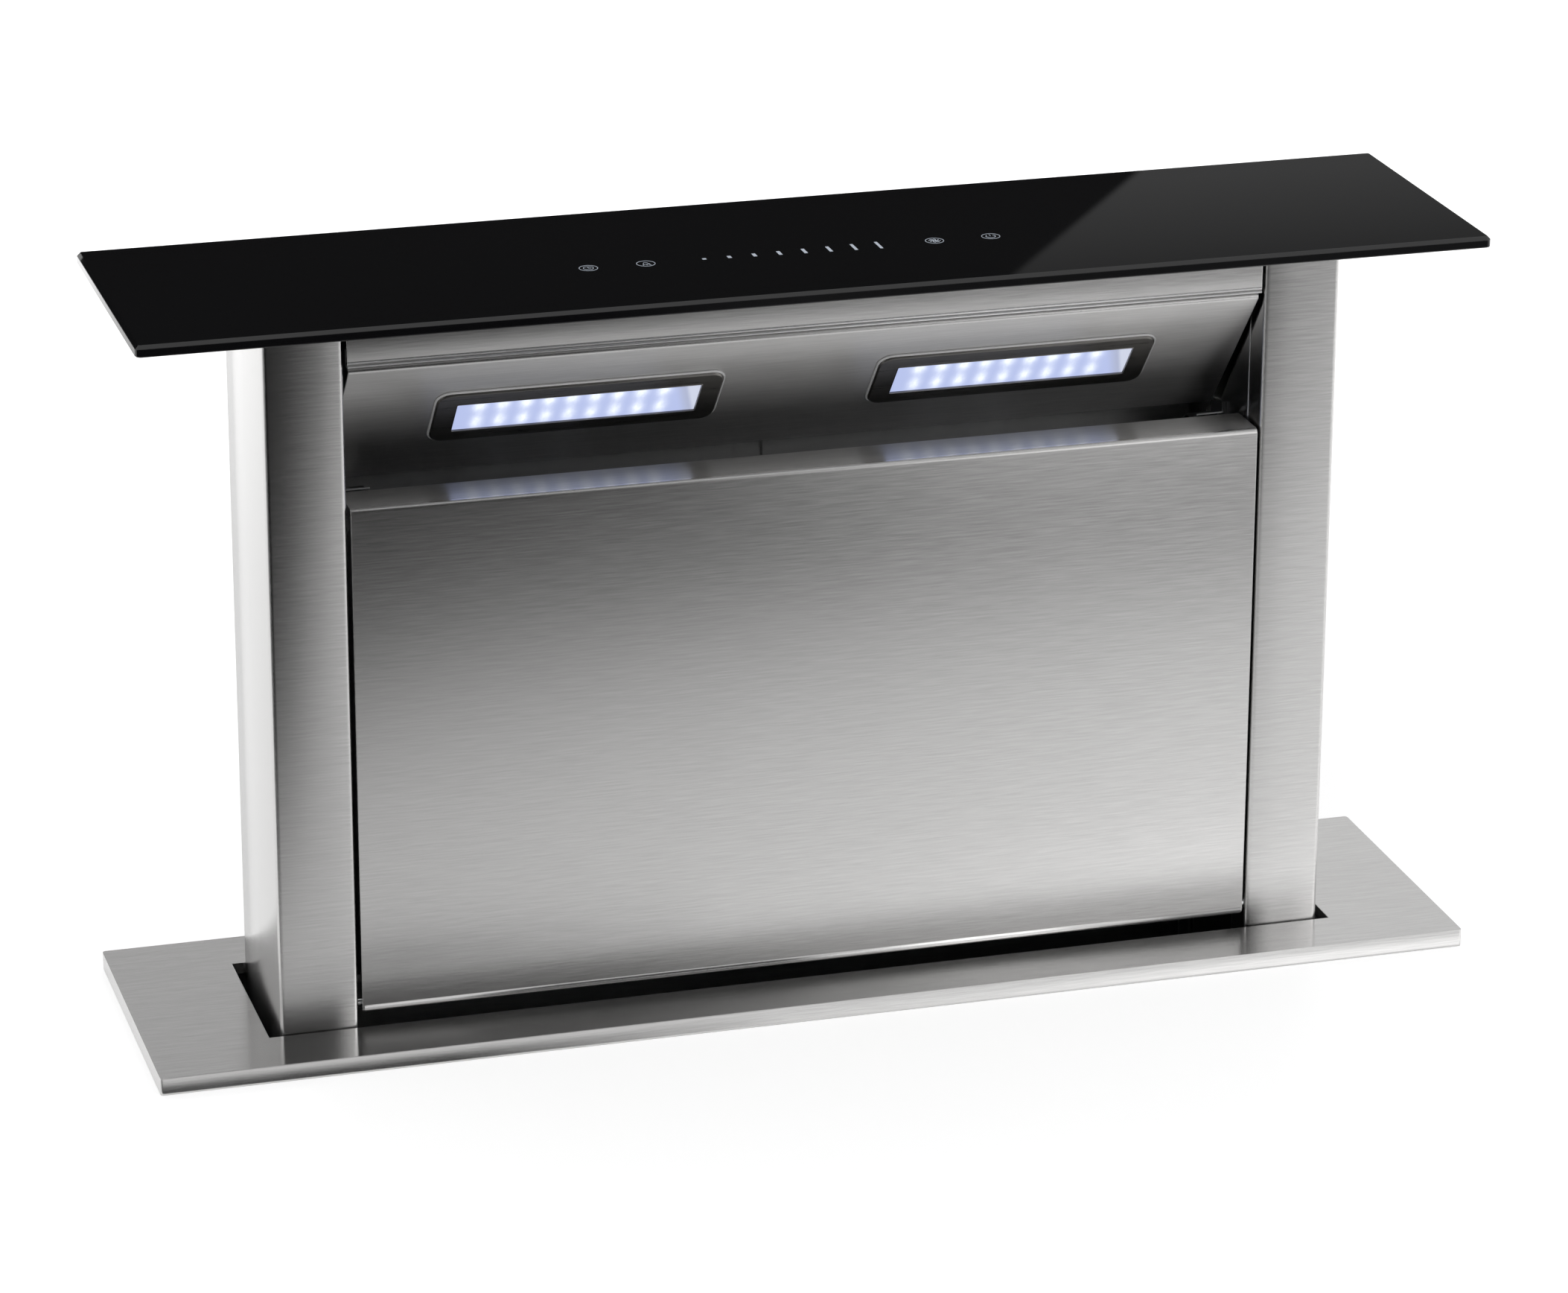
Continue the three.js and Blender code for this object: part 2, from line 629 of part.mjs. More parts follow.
// downward folded shelf, with a bearing block under each lead screw's pulley
function driveShelf() {
  const x = CHASSIS_X - SHEET - SEAT;
  const y = SHELF_D / 2;
  const depth = 24;
  let part = block(-x, x, -y, y, SHELF_Z - depth, SHELF_Z).subtract(
    block(-x - 1, x + 1, SHELF_T - y, y - SHELF_T, SHELF_Z - depth - 6, SHELF_Z - SHELF_T)
  );
  const top = PULLEY_Z - 1.5;
  const z = SHELF_Z;
  const bearing = [[0, z - 1], [18, z - 1], [18, z + 3], [12, z + 4], [12, top], [0, top]];
  for (const [, side] of SIDES) {
    part = part
      .add(turnedZ(bearing, side * SCREW_X, SCREW_Y, 16))
      .subtract(rodZ(JOURNAL_R + SEAT, SHELF_Z - 10, PULLEY_Z, side * SCREW_X, SCREW_Y));
  }
  return part.subtract(rodZ(MOTOR_SHAFT_R + 2, SHELF_Z - 10, SHELF_Z + 5, 0, MOTOR_Y));
}

function liftMotor() {
  const top = SHELF_Z - SHELF_T - SEAT;
  const [width, depth, height] = GEARBOX;
  const gearbox = alongZ(roundedRectangle(width, depth, 5), top - height, top);
  // round motor under the gearbox, from its rear boss up
  const body = turnedZ(
    [[0, -118], [9, -118], [9, -114], [17, -114], [19, -112], [19, -36], [21, -34], [0, -34]].map(
      ([r, h]) => [r, top + h]
    ),
    0, 0, 16
  );
  return placed(gearbox.add(body), new THREE.Matrix4().makeTranslation(0, MOTOR_Y, 0)).subtract(
    rodZ(MOTOR_SHAFT_R + SEAT, top - 28, top + 1, 0, MOTOR_Y)
  );
}

// sensor with its face forward and three tags underneath
function limitSwitch(z) {
  const y = CHASSIS_Y - SHEET - SEAT;
  const [width, depth, height] = SWITCH;
  const body = block(SWITCH_X - width / 2, SWITCH_X + width / 2, y - depth, y, z, z + height);
  const face = block(SWITCH_X - 5, SWITCH_X - 2, y - depth - 2, y - depth + 0.5, z + 4, z + 7);
  const tags = [-8, 0, 7].map((x) =>
    block(SWITCH_X + x - 0.4, SWITCH_X + x + 0.4, y - 5, y - 2, z - 5, z + 1)
  );
  return tags.reduce((part, tag) => part.add(tag), body.add(face));
}

// ---- blower -------------------------------------------------------------------------------

const SCROLL_Y1 = -CHASSIS_Y - SEAT; // against the chassis
const SCROLL_Y0 = SCROLL_Y1 - SCROLL_D;

function onSpiral(degrees, offset) {
  const share = (degrees - SCROLL_START) / (SCROLL_END - SCROLL_START);
  const r = SCROLL_R0 + (SCROLL_R1 - SCROLL_R0) * share + offset;
  const a = THREE.MathUtils.degToRad(degrees);
  return [r * Math.cos(a), FAN_Z + r * Math.sin(a)];
}

const TONGUE_Z = onSpiral(SCROLL_START, 0)[1];
const THROAT_Z = onSpiral(SCROLL_END, 0)[1];

function scrollOutline(offset, mouth) {
  const rise = TONGUE_Z + offset - FAN_Z;
  const first = THREE.MathUtils.radToDeg(Math.asin(rise / (SCROLL_R0 + offset)));
  const points = [];
  const steps = 24;
  for (let k = 0; k <= steps; k++) {
    points.push(onSpiral(first + ((SCROLL_END - first) * k) / steps, offset));
  }
  points.push([mouth, THROAT_Z - offset], [mouth, TONGUE_Z + offset]);
  return outlineShape(points);
}

function scrollHousing() {
  // rolled inlet, from its outer lip round the mouth and back
  const bell = turnedY(
    [[INLET_R + 11, SCROLL_Y1 - 0.4], [INLET_R + 4, SCROLL_Y1 - 1], [INLET_R, SCROLL_Y1 - 5],
      [INLET_R, SCROLL_Y1 - 12], [INLET_R + 1.4, SCROLL_Y1 - 12], [INLET_R + 1.4, SCROLL_Y1 - 6],
      [INLET_R + 5, SCROLL_Y1 - 2.5], [INLET_R + 11, SCROLL_Y1 - 1.4], [INLET_R + 11, SCROLL_Y1 - 0.4]],
    0, FAN_Z, 24
  );
  return alongY(scrollOutline(SCROLL_WALL, OUTLET_X), SCROLL_Y0, SCROLL_Y1)
    .subtract(alongY(scrollOutline(0, OUTLET_X + 1), SCROLL_Y0 - 1, SCROLL_Y1 - SCROLL_WALL))
    .subtract(rodY(INLET_R + 8, SCROLL_Y1 - 5, SCROLL_Y1 + 1, 0, FAN_Z, 24))
    .add(bell);
}

function scrollCover() {
  const y = SCROLL_Y0 - SEAT;
  const circle = 64; // cooling holes round the motor
  const holes = [60, 120, 180, 240, 300, 0].map((degrees) => {
    const a = THREE.MathUtils.degToRad(degrees);
    return rodY(3, y - 4, y + 2, circle * Math.cos(a), FAN_Z + circle * Math.sin(a), 6);
  });
  const plate = alongY(scrollOutline(SCROLL_WALL + 5, OUTLET_X), y - SCROLL_WALL, y);
  return holes.reduce((part, hole) => part.subtract(hole), plate.subtract(rodY(14, y - 3, y + 1, 0, FAN_Z)));
}

function blowerMotor() {
  const y = SCROLL_Y0 - SCROLL_WALL - 2 * SEAT;
  const bore = FAN_SHAFT_R + SEAT;
  // flange, can and rear cap, and the shaft's blind bore
  const casing = turnedY(
    [[bore, y], [56, y], [56, y - 3], [46, y - 3], [46, y - 38], [41, y - 44], [20, y - 44],
      [18, y - 48], [0, y - 48], [0, y - 34], [bore, y - 34], [bore, y]],
    0, FAN_Z, 24
  );
  const fins = 8;
  const fin = block(44, 48.5, -15, 15, -1, 1);
  let part = casing;
  for (let i = 0; i < fins; i++) {
    const turn = new THREE.Matrix4().makeRotationY((i / fins) * 2 * Math.PI).setPosition(0, y - 20, FAN_Z);
    part = part.add(placed(fin, turn));
  }
  return part;
}

// a forward-curved blade, between the wheel's inner radius and just inside its rim
function bladeShape(angle) {
  const steps = 2;
  const lean = 0.16;
  const half = 0.6;
  const side = (thick) =>
    Array.from({ length: steps + 1 }, (_, k) => {
      const share = k / steps;
      const r = WHEEL_INNER_R + (WHEEL_R - 1 - WHEEL_INNER_R) * share;
      const a = angle + lean * share * share + thick / r;
      return [r * Math.cos(a), FAN_Z + r * Math.sin(a)];
    });
  return outlineShape([...side(half), ...side(-half).reverse()]);
}

function blowerWheel() {
  const mouth = SCROLL_Y1 - WHEEL_IN;
  const back = mouth - WHEEL_W;
  const plate = back + WHEEL_PLATE;
  const ring = mouth - WHEEL_RING;
  const inner = WHEEL_INNER_R - 1;
  // back plate that rises to a hub
  let part = turnedY(
    [[0, back], [WHEEL_R, back], [WHEEL_R, plate], [34, plate], [22, back + 12], [9, back + 16],
      [0, back + 16]],
    0, FAN_Z, 32
  );
  part = part.add(
    turnedY([[inner, ring], [WHEEL_R, ring], [WHEEL_R, mouth], [inner, mouth], [inner, ring]], 0, FAN_Z, 32)
  );
  for (let i = 0; i < WHEEL_BLADES; i++) {
    const blade = alongY(bladeShape((i / WHEEL_BLADES) * 2 * Math.PI), back + 1.5, mouth - 1.5);
    part = part.add(blade);
  }
  return part.add(rodY(FAN_SHAFT_R, SCROLL_Y0 - 30, back + 1, 0, FAN_Z, 20));
}

const DUCT_Y = SCROLL_Y1 - DUCT_R - DUCT_CLEAR;
const DUCT_Z = (TONGUE_Z + THROAT_Z) / 2;
const FLAP_X = COLLAR_X0 + FLAP_IN;

// rectangle at the scroll's outlet, easing into the collar's circle
function adapterRings(offset, x0, x1) {
  const each = 7; // points on each quarter
  const thin = offset * 0.6; // the square end is thinner, so that it clears the chassis
  const half = (TONGUE_Z - THROAT_Z) / 2 + thin;
  const deep = (SCROLL_D - SCROLL_WALL) / 2 + thin;
  const middle = SCROLL_Y0 + (SCROLL_D - SCROLL_WALL) / 2;
  const corners = [[1, 1], [-1, 1], [-1, -1], [1, -1]];
  const rectangle = [];
  const circle = [];
  corners.forEach(([u, v], i) => {
    const [un, vn] = corners[(i + 1) % 4];
    for (let k = 0; k < each; k++) {
      const s = k / each;
      const a = ((i + s) / 4) * 2 * Math.PI + Math.PI / 4;
      const r = DUCT_R - COLLAR_WALL + offset;
      rectangle.push([middle + deep * (u + (un - u) * s), DUCT_Z + half * (v + (vn - v) * s)]);
      circle.push([DUCT_Y + r * Math.cos(a), DUCT_Z + r * Math.sin(a)]);
    }
  });
  const at = (ring, x) => ring.map(([y, z]) => new THREE.Vector3(x, y, z));
  const between = (share) => rectangle.map(([y, z], i) => {
    const ease = share * share * (3 - 2 * share);
    return [y + (circle[i][0] - y) * ease, z + (circle[i][1] - z) * ease];
  });
  const start = OUTLET_X + SEAT + 6;
  const rings = [at(rectangle, x0), at(rectangle, start)];
  for (const share of [0.25, 0.5, 0.75]) {
    rings.push(at(between(share), start + (COLLAR_X0 - start) * share));
  }
  rings.push(at(circle, COLLAR_X0), at(circle, x1));
  return rings;
}

function outletAdapter() {
  const x = OUTLET_X + SEAT;
  const half = (TONGUE_Z - THROAT_Z) / 2 + 9;
  const flange = block(x, x + 2, SCROLL_Y0 - 0.5, SCROLL_Y1 - 0.5, DUCT_Z - half, DUCT_Z + half);
  return loft(adapterRings(COLLAR_WALL, x, COLLAR_X1))
    .add(flange)
    .subtract(loft(adapterRings(0, x - 1, COLLAR_X1 + 1)))
    .subtract(rodZ(PIN_R + SEAT, DUCT_Z - DUCT_R - 5, DUCT_Z + DUCT_R + 5, FLAP_X, DUCT_Y, 16));
}

function damperPin() {
  const half = DUCT_R - COLLAR_WALL / 2;
  return rodZ(PIN_R, DUCT_Z - half, DUCT_Z + half, FLAP_X, DUCT_Y, 16);
}

const KNUCKLES = [[-56, -21], [-19, 19], [21, 56]]; // sleeves along the pin, which the flaps share

// half a disc with its own sleeves, cut away beside the other flap's
function damperFlap(side, own) {
  const r = DUCT_R - COLLAR_WALL - FLAP_GAP;
  const shape = new THREE.Shape();
  const start = Math.asin((PIN_R + 0.9) / r);
  shape.absarc(0, 0, r, start, Math.PI - start);
  const geometry = prism(shape, FLAP_T, 20);
  geometry.applyMatrix4(
    new THREE.Matrix4().set(0, 0, 1, FLAP_X - FLAP_T / 2, 0, side, 0, DUCT_Y, 1, 0, 0, DUCT_Z, 0, 0, 0, 1)
  );
  let part = solid(geometry);
  const room = DUCT_Y + side * (KNUCKLE_R + 0.6);
  for (const [z0, z1] of [[-r, -20], [-20, 20], [20, r]].filter((_, i) => !own.includes(i))) {
    part = part.subtract(
      block(FLAP_X - 2, FLAP_X + 2, DUCT_Y, room, DUCT_Z + z0 - 0.4, DUCT_Z + z1 + 0.4)
    );
  }
  for (const [z0, z1] of own.map((i) => KNUCKLES[i])) {
    part = part
      .add(rodZ(KNUCKLE_R, DUCT_Z + z0, DUCT_Z + z1, FLAP_X, DUCT_Y, 14))
      .subtract(rodZ(PIN_R + SEAT, DUCT_Z + z0 - 1, DUCT_Z + z1 + 1, FLAP_X, DUCT_Y, 14));
  }
  return part;
}

// ---- electrics ----------------------------------------------------------------------------

function controlBox() {
  const y = -CHASSIS_Y - SEAT;
  const wall = BOX_WALL;
  return block(BOX_X0, BOX_X1, y - BOX_D, y, BOX_Z0, BOX_Z1)
    .subtract(block(BOX_X0 + wall, BOX_X1 - wall, y - BOX_D - 1, y - wall, BOX_Z0 + wall, BOX_Z1 - wall))
    .subtract(rodX(6.5, BOX_X0 - 1, BOX_X0 + 4, y - BOX_D / 2, BOX_Z0 + GLAND_UP));
}

// lid with a shallow recess in its face
function controlBoxLid() {
  const y = -CHASSIS_Y - 2 * SEAT - BOX_D;
  return block(BOX_X0 - 1, BOX_X1 + 1, y - BOX_WALL, y, BOX_Z0 - 1, BOX_Z1 + 1).subtract(
    block(BOX_X0 + 16, BOX_X1 - 16, y - 3, y - 1.2, BOX_Z0 + 20, BOX_Z1 - 20)
  );
}

// hexagon nut, threaded neck and domed cap, bored for the cord
function mainsGland() {
  const y = -CHASSIS_Y - SEAT - BOX_D / 2;
  const z = BOX_Z0 + GLAND_UP;
  const nut = rodX(10, BOX_X0 - 6, BOX_X0 - SEAT, y, z, 6);
  const neck = rodX(6, BOX_X0 - 1, BOX_X0 + 9, y, z, 14);
  const cap = rodX(8, BOX_X0 - 14, BOX_X0 - 5, y, z, 14);
  return nut.add(neck).add(cap).subtract(rodX(4, BOX_X0 - 20, BOX_X0 + 20, y, z, 14));
}

// ---- tower shell --------------------------------------------------------------------------

function column(side) {
  const inset = SHEET / 2;
  const back = TOWER_Y - inset;
  const rear = TOWER_Y - COLUMN_RETURN;
  const points = [[INNER_X + inset, -rear], [INNER_X + inset, -back], [TOWER_X - inset, -back],
    [TOWER_X - inset, back], [INNER_X + inset, back], [INNER_X + inset, rear]];
  const shape = foldedSheet(points.map(([x, y]) => [side * x, y]), BEND);
  return alongZ(shape, TAIL_Z, TOWER_TOP).subtract(
    rodX(HINGE_ROD_R + HINGE_CLEAR, side * (INNER_X - 2), side * (INNER_X + 6), HINGE_Y, HINGE_Z, 16)
  );
}

// closes the column's inner side between its two folds
function columnLiner(side) {
  const y = TOWER_Y - COLUMN_RETURN - SEAT - SHEET / 2;
  const x = INNER_X + SHEET / 2;
  const points = [[x + LINER_LIP, -y], [x, -y], [x, y], [x + LINER_LIP, y]];
  return alongZ(foldedSheet(points.map(([u, v]) => [side * u, v]), 1), TAIL_Z, TOWER_TOP);
}

function towerRear() {
  const x = INNER_X - SEAT - SHEET / 2;
  const y = TOWER_Y - SHEET / 2;
  const points = [[-x, y - REAR_LIP], [-x, y], [x, y], [x, y - REAR_LIP]];
  return alongZ(foldedSheet(points, 1.2), TAIL_Z, TOWER_TOP);
}

function headerRail() {
  const y = FRONT + SHEET / 2;
  const z = HEADER_Z + SHEET / 2;
  const points = [[y + HEADER_HEM, z + 7], [y + HEADER_HEM, z], [y, z], [y, TOWER_TOP - SHEET / 2],
    [y + 8, TOWER_TOP - SHEET / 2]];
  return alongX(foldedSheet(points, [1.6, 1.6, 1.6]), -PANEL_X, PANEL_X);
}

// slope, cove and apron in one sheet, with a window behind each lamp
const LIP_Y = FRONT + 1.4;
const APRON_Y = LIP_Y + SOFFIT_RUN;
const APRON_Z = LIP_Z - SOFFIT_DROP - SOFFIT_APRON;

function lampPanel() {
  const behind = FRONT + 1.5 * SHEET + HEADER_HEM + SEAT; // upstand behind the header's hem
  const points = [[behind, LIP_Z + LIP_UPSTAND], [behind, LIP_Z], [LIP_Y, LIP_Z],
    [APRON_Y, LIP_Z - SOFFIT_DROP], [APRON_Y, APRON_Z], [TOWER_Y - 2 * SHEET, APRON_Z]];
  const edge = INNER_X - SEAT - SHEET - 0.8;
  let part = alongX(foldedSheet(points, [0.9, 0.9, SOFFIT_BEND, 1.6], SHEET, 6), -edge, edge);
  for (const [, side] of SIDES) {
    const cut = centredBlock(WINDOW_W + 12, WINDOW_H + 9, -6, 6);
    part = part.subtract(placed(cut, lampMatrix(side)));
  }
  return part;
}

// lamp frame: X along the lamp, Y up the slope, Z out of the sheet; its zero is the sheet's face
function lampMatrix(side) {
  const face = SHEET / 2;
  const y = LIP_Y + LAMP_DOWN * Math.cos(SOFFIT_ANGLE) - face * Math.sin(SOFFIT_ANGLE);
  const z = LIP_Z - LAMP_DOWN * Math.sin(SOFFIT_ANGLE) - face * Math.cos(SOFFIT_ANGLE);
  const matrix = new THREE.Matrix4().makeRotationX(Math.PI - SOFFIT_ANGLE);
  return matrix.setPosition((side * LAMP_SPACING) / 2, y, z);
}

// points of a rectangle with rounded corners, at one level
function roundedRing(width, height, r, z, each = 4) {
  const x = width / 2 - r;
  const y = height / 2 - r;
  const corners = [[x, y], [-x, y], [-x, -y], [x, -y]];
  return corners.flatMap(([cx, cy], i) =>
    Array.from({ length: each + 1 }, (_, k) => {
      const a = ((i + k / each) * Math.PI) / 2;
      return new THREE.Vector3(cx + r * Math.cos(a), cy + r * Math.sin(a), z);
    })
  );
}

function centredBlock(width, height, z0, z1) {
  return block(-width / 2, width / 2, -height / 2, height / 2, z0, z1);
}

function lampBezel() {
  const levels = [[0, 0], [0, BEZEL_T - BEZEL_CHAMFER], [BEZEL_CHAMFER, BEZEL_T]];
  const rim = loft(
    levels.map(([inset, z]) =>
      roundedRing(LAMP_W - 2 * inset, LAMP_H - 2 * inset, LAMP_CORNER - inset, SEAT + z)
    )
  );
  const collar = centredBlock(WINDOW_W + 10, WINDOW_H + 7, -LAMP_DEPTH, SEAT + 0.5);
  return rim.add(collar).subtract(centredBlock(WINDOW_W + 1, WINDOW_H + 1, -LAMP_DEPTH - 1, 4));
}

function lampLens() {
  const face = SEAT + BEZEL_T - LENS_DEPTH;
  return centredBlock(WINDOW_W, WINDOW_H, face - LENS_T, face);
}

function ledBoard() {
  let part = centredBlock(WINDOW_W - 2 * SEAT, WINDOW_H - 2 * SEAT, BOARD_Z - BOARD_T, BOARD_Z);
  for (let i = 0; i < LED_COUNT; i++) {
    for (let row = 0; row < LED_ROWS; row++) {
      const x = LED_SHIFT + (i - (LED_COUNT - 1) / 2) * LED_PITCH;
      const y = (row - (LED_ROWS - 1) / 2) * (WINDOW_H / LED_ROWS);
      part = part.add(
        block(x - LED_W / 2, x + LED_W / 2, y - LED_H / 2, y + LED_H / 2, BOARD_Z - 0.4, BOARD_Z + 0.8)
      );
    }
  }
  return part;
}

function glassCarrier() {
  const x = GLASS_W / 2 - CARRIER_INSET_X;
  const y = GLASS_D / 2 - CARRIER_INSET_Y;
  const tx = TOUCH_W / 2 + 1;
  const ty = TOUCH_D / 2 + 1;
  return alongZ(roundedRectangle(2 * x, 2 * y, 6), CARRIER_Z, CARRIER_Z + SHEET).subtract(
    block(TOUCH_OFFSET_X - tx, TOUCH_OFFSET_X + tx, TOUCH_OFFSET_Y - ty, TOUCH_OFFSET_Y + ty,
      CARRIER_Z - 1, GLASS_Z)
  );
}

function glassTop() {
  const levels = [[0.4, 0], [0, 0.4], [0, GLASS_T - GLASS_BEVEL], [GLASS_BEVEL, GLASS_T]];
  const rings = levels.map(([inset, height]) =>
    roundedRing(
      GLASS_W - 2 * inset, GLASS_D - 2 * inset, Math.max(GLASS_CORNER - inset, 1), GLASS_Z + height
    )
  );
  return loft(rings);
}

// shallow case with a plug behind and two pockets underneath
function touchModule() {
  const top = GLASS_Z - SEAT;
  const low = top - TOUCH_H;
  const shell = alongZ(roundedRectangle(TOUCH_W, TOUCH_D, 3), low, top);
  const plug = block(-12, 12, TOUCH_D / 2 - 9, TOUCH_D / 2 - 3, low - 4, low + 1);
  const inside = TOUCH_D / 2 - 4;
  const pocket = block(-TOUCH_W / 2 + 4, -20, -inside, inside, low - 1, top - 4);
  const other = block(20, TOUCH_W / 2 - 4, -inside, inside, low - 1, top - 4);
  return placed(
    shell.add(plug).subtract(pocket).subtract(other),
    new THREE.Matrix4().makeTranslation(TOUCH_OFFSET_X, TOUCH_OFFSET_Y, 0)
  );
}

// ---- front panel --------------------------------------------------------------------------

const STRIKE_Y = FRONT + PANEL_FLANGE + 14; // where the catch grips the panel's tongue
const STRIKE_Z = PANEL_TOP - 8.5;
const STRIKE_X = [INNER_X - 18, INNER_X - 6];

// tongue and catch lie along the panel's swing there, so both are turned about the grip
function alongSwing(part) {
  const tilt = Math.atan2(STRIKE_Y - HINGE_Y, STRIKE_Z - HINGE_Z);
  const turn = new THREE.Matrix4().makeRotationX(-tilt).setPosition(0, STRIKE_Y, STRIKE_Z);
  return placed(part, turn);
}

function frontPanel() {
  const y = FRONT + SHEET / 2;
  const top = PANEL_TOP - SHEET / 2;
  const flange = FRONT + PANEL_FLANGE;
  const points = [[FRONT + PANEL_EDGE, PANEL_Z0 + SHEET / 2], [y, PANEL_Z0 + SHEET / 2], [y, top],
    [flange, top], [flange, top - PANEL_HEM]];
  let part = alongX(foldedSheet(points, 1.6), -PANEL_X, PANEL_X);
  for (const [, side] of SIDES) {
    const edge = block(
      side * PANEL_X, side * (PANEL_X - SHEET), y, FRONT + PANEL_EDGE - SEAT, PANEL_Z0 + SHEET / 2, top
    );
    const tongue = alongSwing(
      block(
        side * STRIKE_X[0], side * STRIKE_X[1], flange - STRIKE_Y, TONGUE_REACH, -TONGUE_T / 2, TONGUE_T / 2
      )
    );
    const eye = [side * (PANEL_X + 1), side * (PANEL_X - 4)];
    part = part.add(edge).add(tongue).subtract(rodX(HINGE_ROD_R + SEAT, ...eye, HINGE_Y, HINGE_Z, 16));
  }
  return part;
}

function hingeRod() {
  return rodX(HINGE_ROD_R, -INNER_X - 3.5, INNER_X + 3.5, HINGE_Y, HINGE_Z, 16);
}

// sprung jaws that close on the panel's tongue, on a foot against the liner
function panelCatch(side) {
  const leaf = 0.8;
  const grip = TONGUE_T / 2 + SEAT + 0.7;
  const wall = side * (INNER_X - SEAT);
  const jaw = [[-5, 5], [0, grip], [9, grip + 1.6], [14, 0.9]];
  const other = jaw.map(([y, z]) => [y, -z]).reverse();
  const outline = foldedSheet([...jaw, ...other], 1.2, leaf, 2);
  const spring = alongX(outline, wall - side * 17, wall - side * 5);
  const stem = block(wall - side * 6, wall, 12, 15.5, -2, 2);
  const foot = block(wall - side * 1.5, wall, 4, 20, -8, 8);
  return alongSwing(spring.add(stem).add(foot));
}

// ---- filters ------------------------------------------------------------------------------

const SILL_Z = PLATE_H + 2;
const SILL_Y = HINGE_Y + 9.5; // clear of the panel's lower fold as it turns
const CHANNEL = FILTER_T + 3.6;
const FILTER_FOOT = [SILL_Y + SHEET + CHANNEL / 2, SILL_Z + SHEET + SEAT + 1.2];
const FILTER_HEAD = [APRON_Y - SHEET / 2 - SEAT - FILTER_T / 2 - 0.4, APRON_Z + 12];
const LEAN = Math.atan2(FILTER_HEAD[0] - FILTER_FOOT[0], FILTER_HEAD[1] - FILTER_FOOT[1]);
const FILTER_L = Math.hypot(FILTER_HEAD[0] - FILTER_FOOT[0], FILTER_HEAD[1] - FILTER_FOOT[1]);
const FILTER_X = (INNER_X - SEAT - SHEET - 1) / 2; // middle of each filter
const FILTER_W = 2 * FILTER_X - 1;
const BAIL_Y = FILTER_L - 24; // bail's pivot up the filter
const BAIL_Z = FILTER_T / 2 + BAIL_WIRE_R + SEAT;

function sillRail() {
  const y0 = SILL_Y + SHEET / 2;
  const y1 = SILL_Y + SHEET * 1.5 + CHANNEL;
  const z = SILL_Z + SHEET / 2;
  const x = INNER_X - SEAT;
  const points = [[y0, z + SILL_FRONT], [y0, z], [y1, z], [y1, z + SILL_BACK]];
  return alongX(foldedSheet(points, 1), -x, x);
}

// filter frame: X across, Y up the filter, Z out of its front; its zero is the middle of the foot
function filterMatrix(side) {
  const matrix = new THREE.Matrix4().makeRotationX(Math.PI / 2 - LEAN);
  return matrix.setPosition(side * FILTER_X, FILTER_FOOT[0], FILTER_FOOT[1]);
}

function diamond(x, y, w, h) {
  const corners = [[x - w, y], [x, y - h], [x + w, y], [x, y + h]];
  return new THREE.Path(corners.map(([u, v]) => new THREE.Vector2(u, v)));
}

// a frame round a sheet of staggered diamond openings
function greaseFilter() {
  const half = FILTER_W / 2;
  const inner = half - FILTER_FRAME;
  const open = FILTER_L - 2 * FILTER_FRAME;
  const side = half - 1;
  const end = FILTER_L - 1;
  const mesh = outlineShape([[-side, 1], [side, 1], [side, end], [-side, end]]);
  const columns = Math.round((2 * inner) / FILTER_PITCH_X);
  const rows = Math.round(open / FILTER_PITCH_Y);
  const stepX = (2 * inner) / columns;
  const stepY = open / rows;
  for (let row = 0; row < rows; row++) {
    const odd = row % 2;
    for (let i = 0; i < columns - odd; i++) {
      const x = -inner + (i + 0.5 + odd / 2) * stepX;
      mesh.holes.push(diamond(x, FILTER_FRAME + (row + 0.5) * stepY, stepX * 0.42, stepY * 0.78));
    }
  }
  const sheet = alongZ(mesh, -MESH_T / 2, MESH_T / 2);
  const frame = block(-half, half, 0, FILTER_L, -FILTER_T / 2, FILTER_T / 2).subtract(
    block(-inner, inner, FILTER_FRAME, FILTER_L - FILTER_FRAME, -FILTER_T, FILTER_T)
  );
  return frame.add(sheet);
}

// filter with the bridge and lugs that carry its bail
function filterWithLugs() {
  let part = greaseFilter();
  const bridge = block(-BAIL_W / 2 - 3, BAIL_W / 2 + 3, BAIL_Y - 5, BAIL_Y + 16, 0, FILTER_T / 2);
  part = part.add(bridge);
  for (const [, side] of SIDES) {
    const x = (side * BAIL_W) / 4;
    part = part
      .add(block(x - 3, x + 3, BAIL_Y - 3.2, BAIL_Y + 3.2, FILTER_T / 2 - 1, BAIL_Z + 3.2))
      .subtract(rodX(BAIL_WIRE_R + SEAT, x - 4, x + 4, BAIL_Y, BAIL_Z, 14));
  }
  return part;
}

// closed wire loop, hanging from its upper bar
function filterHandle() {
  const half = BAIL_W / 2;
  const low = BAIL_Y - BAIL_DROP;
  const r = BAIL_WIRE_R;
  const bars = [rodX(r, -half, half, BAIL_Y, BAIL_Z, 8), rodX(r, -half, half, low, BAIL_Z, 8)];
  let part = bars[0].add(bars[1]);
  for (const [, side] of SIDES) {
    part = part.add(rodY(r, low, BAIL_Y, side * half, BAIL_Z, 8));
    for (const y of [low, BAIL_Y]) {
      const ball = new THREE.SphereGeometry(r, 8, 6);
      ball.translate(side * half, y, BAIL_Z);
      part = part.add(solid(ball));
    }
  }
  return part;
}

// ---- column feet and nuts -----------------------------------------------------------------

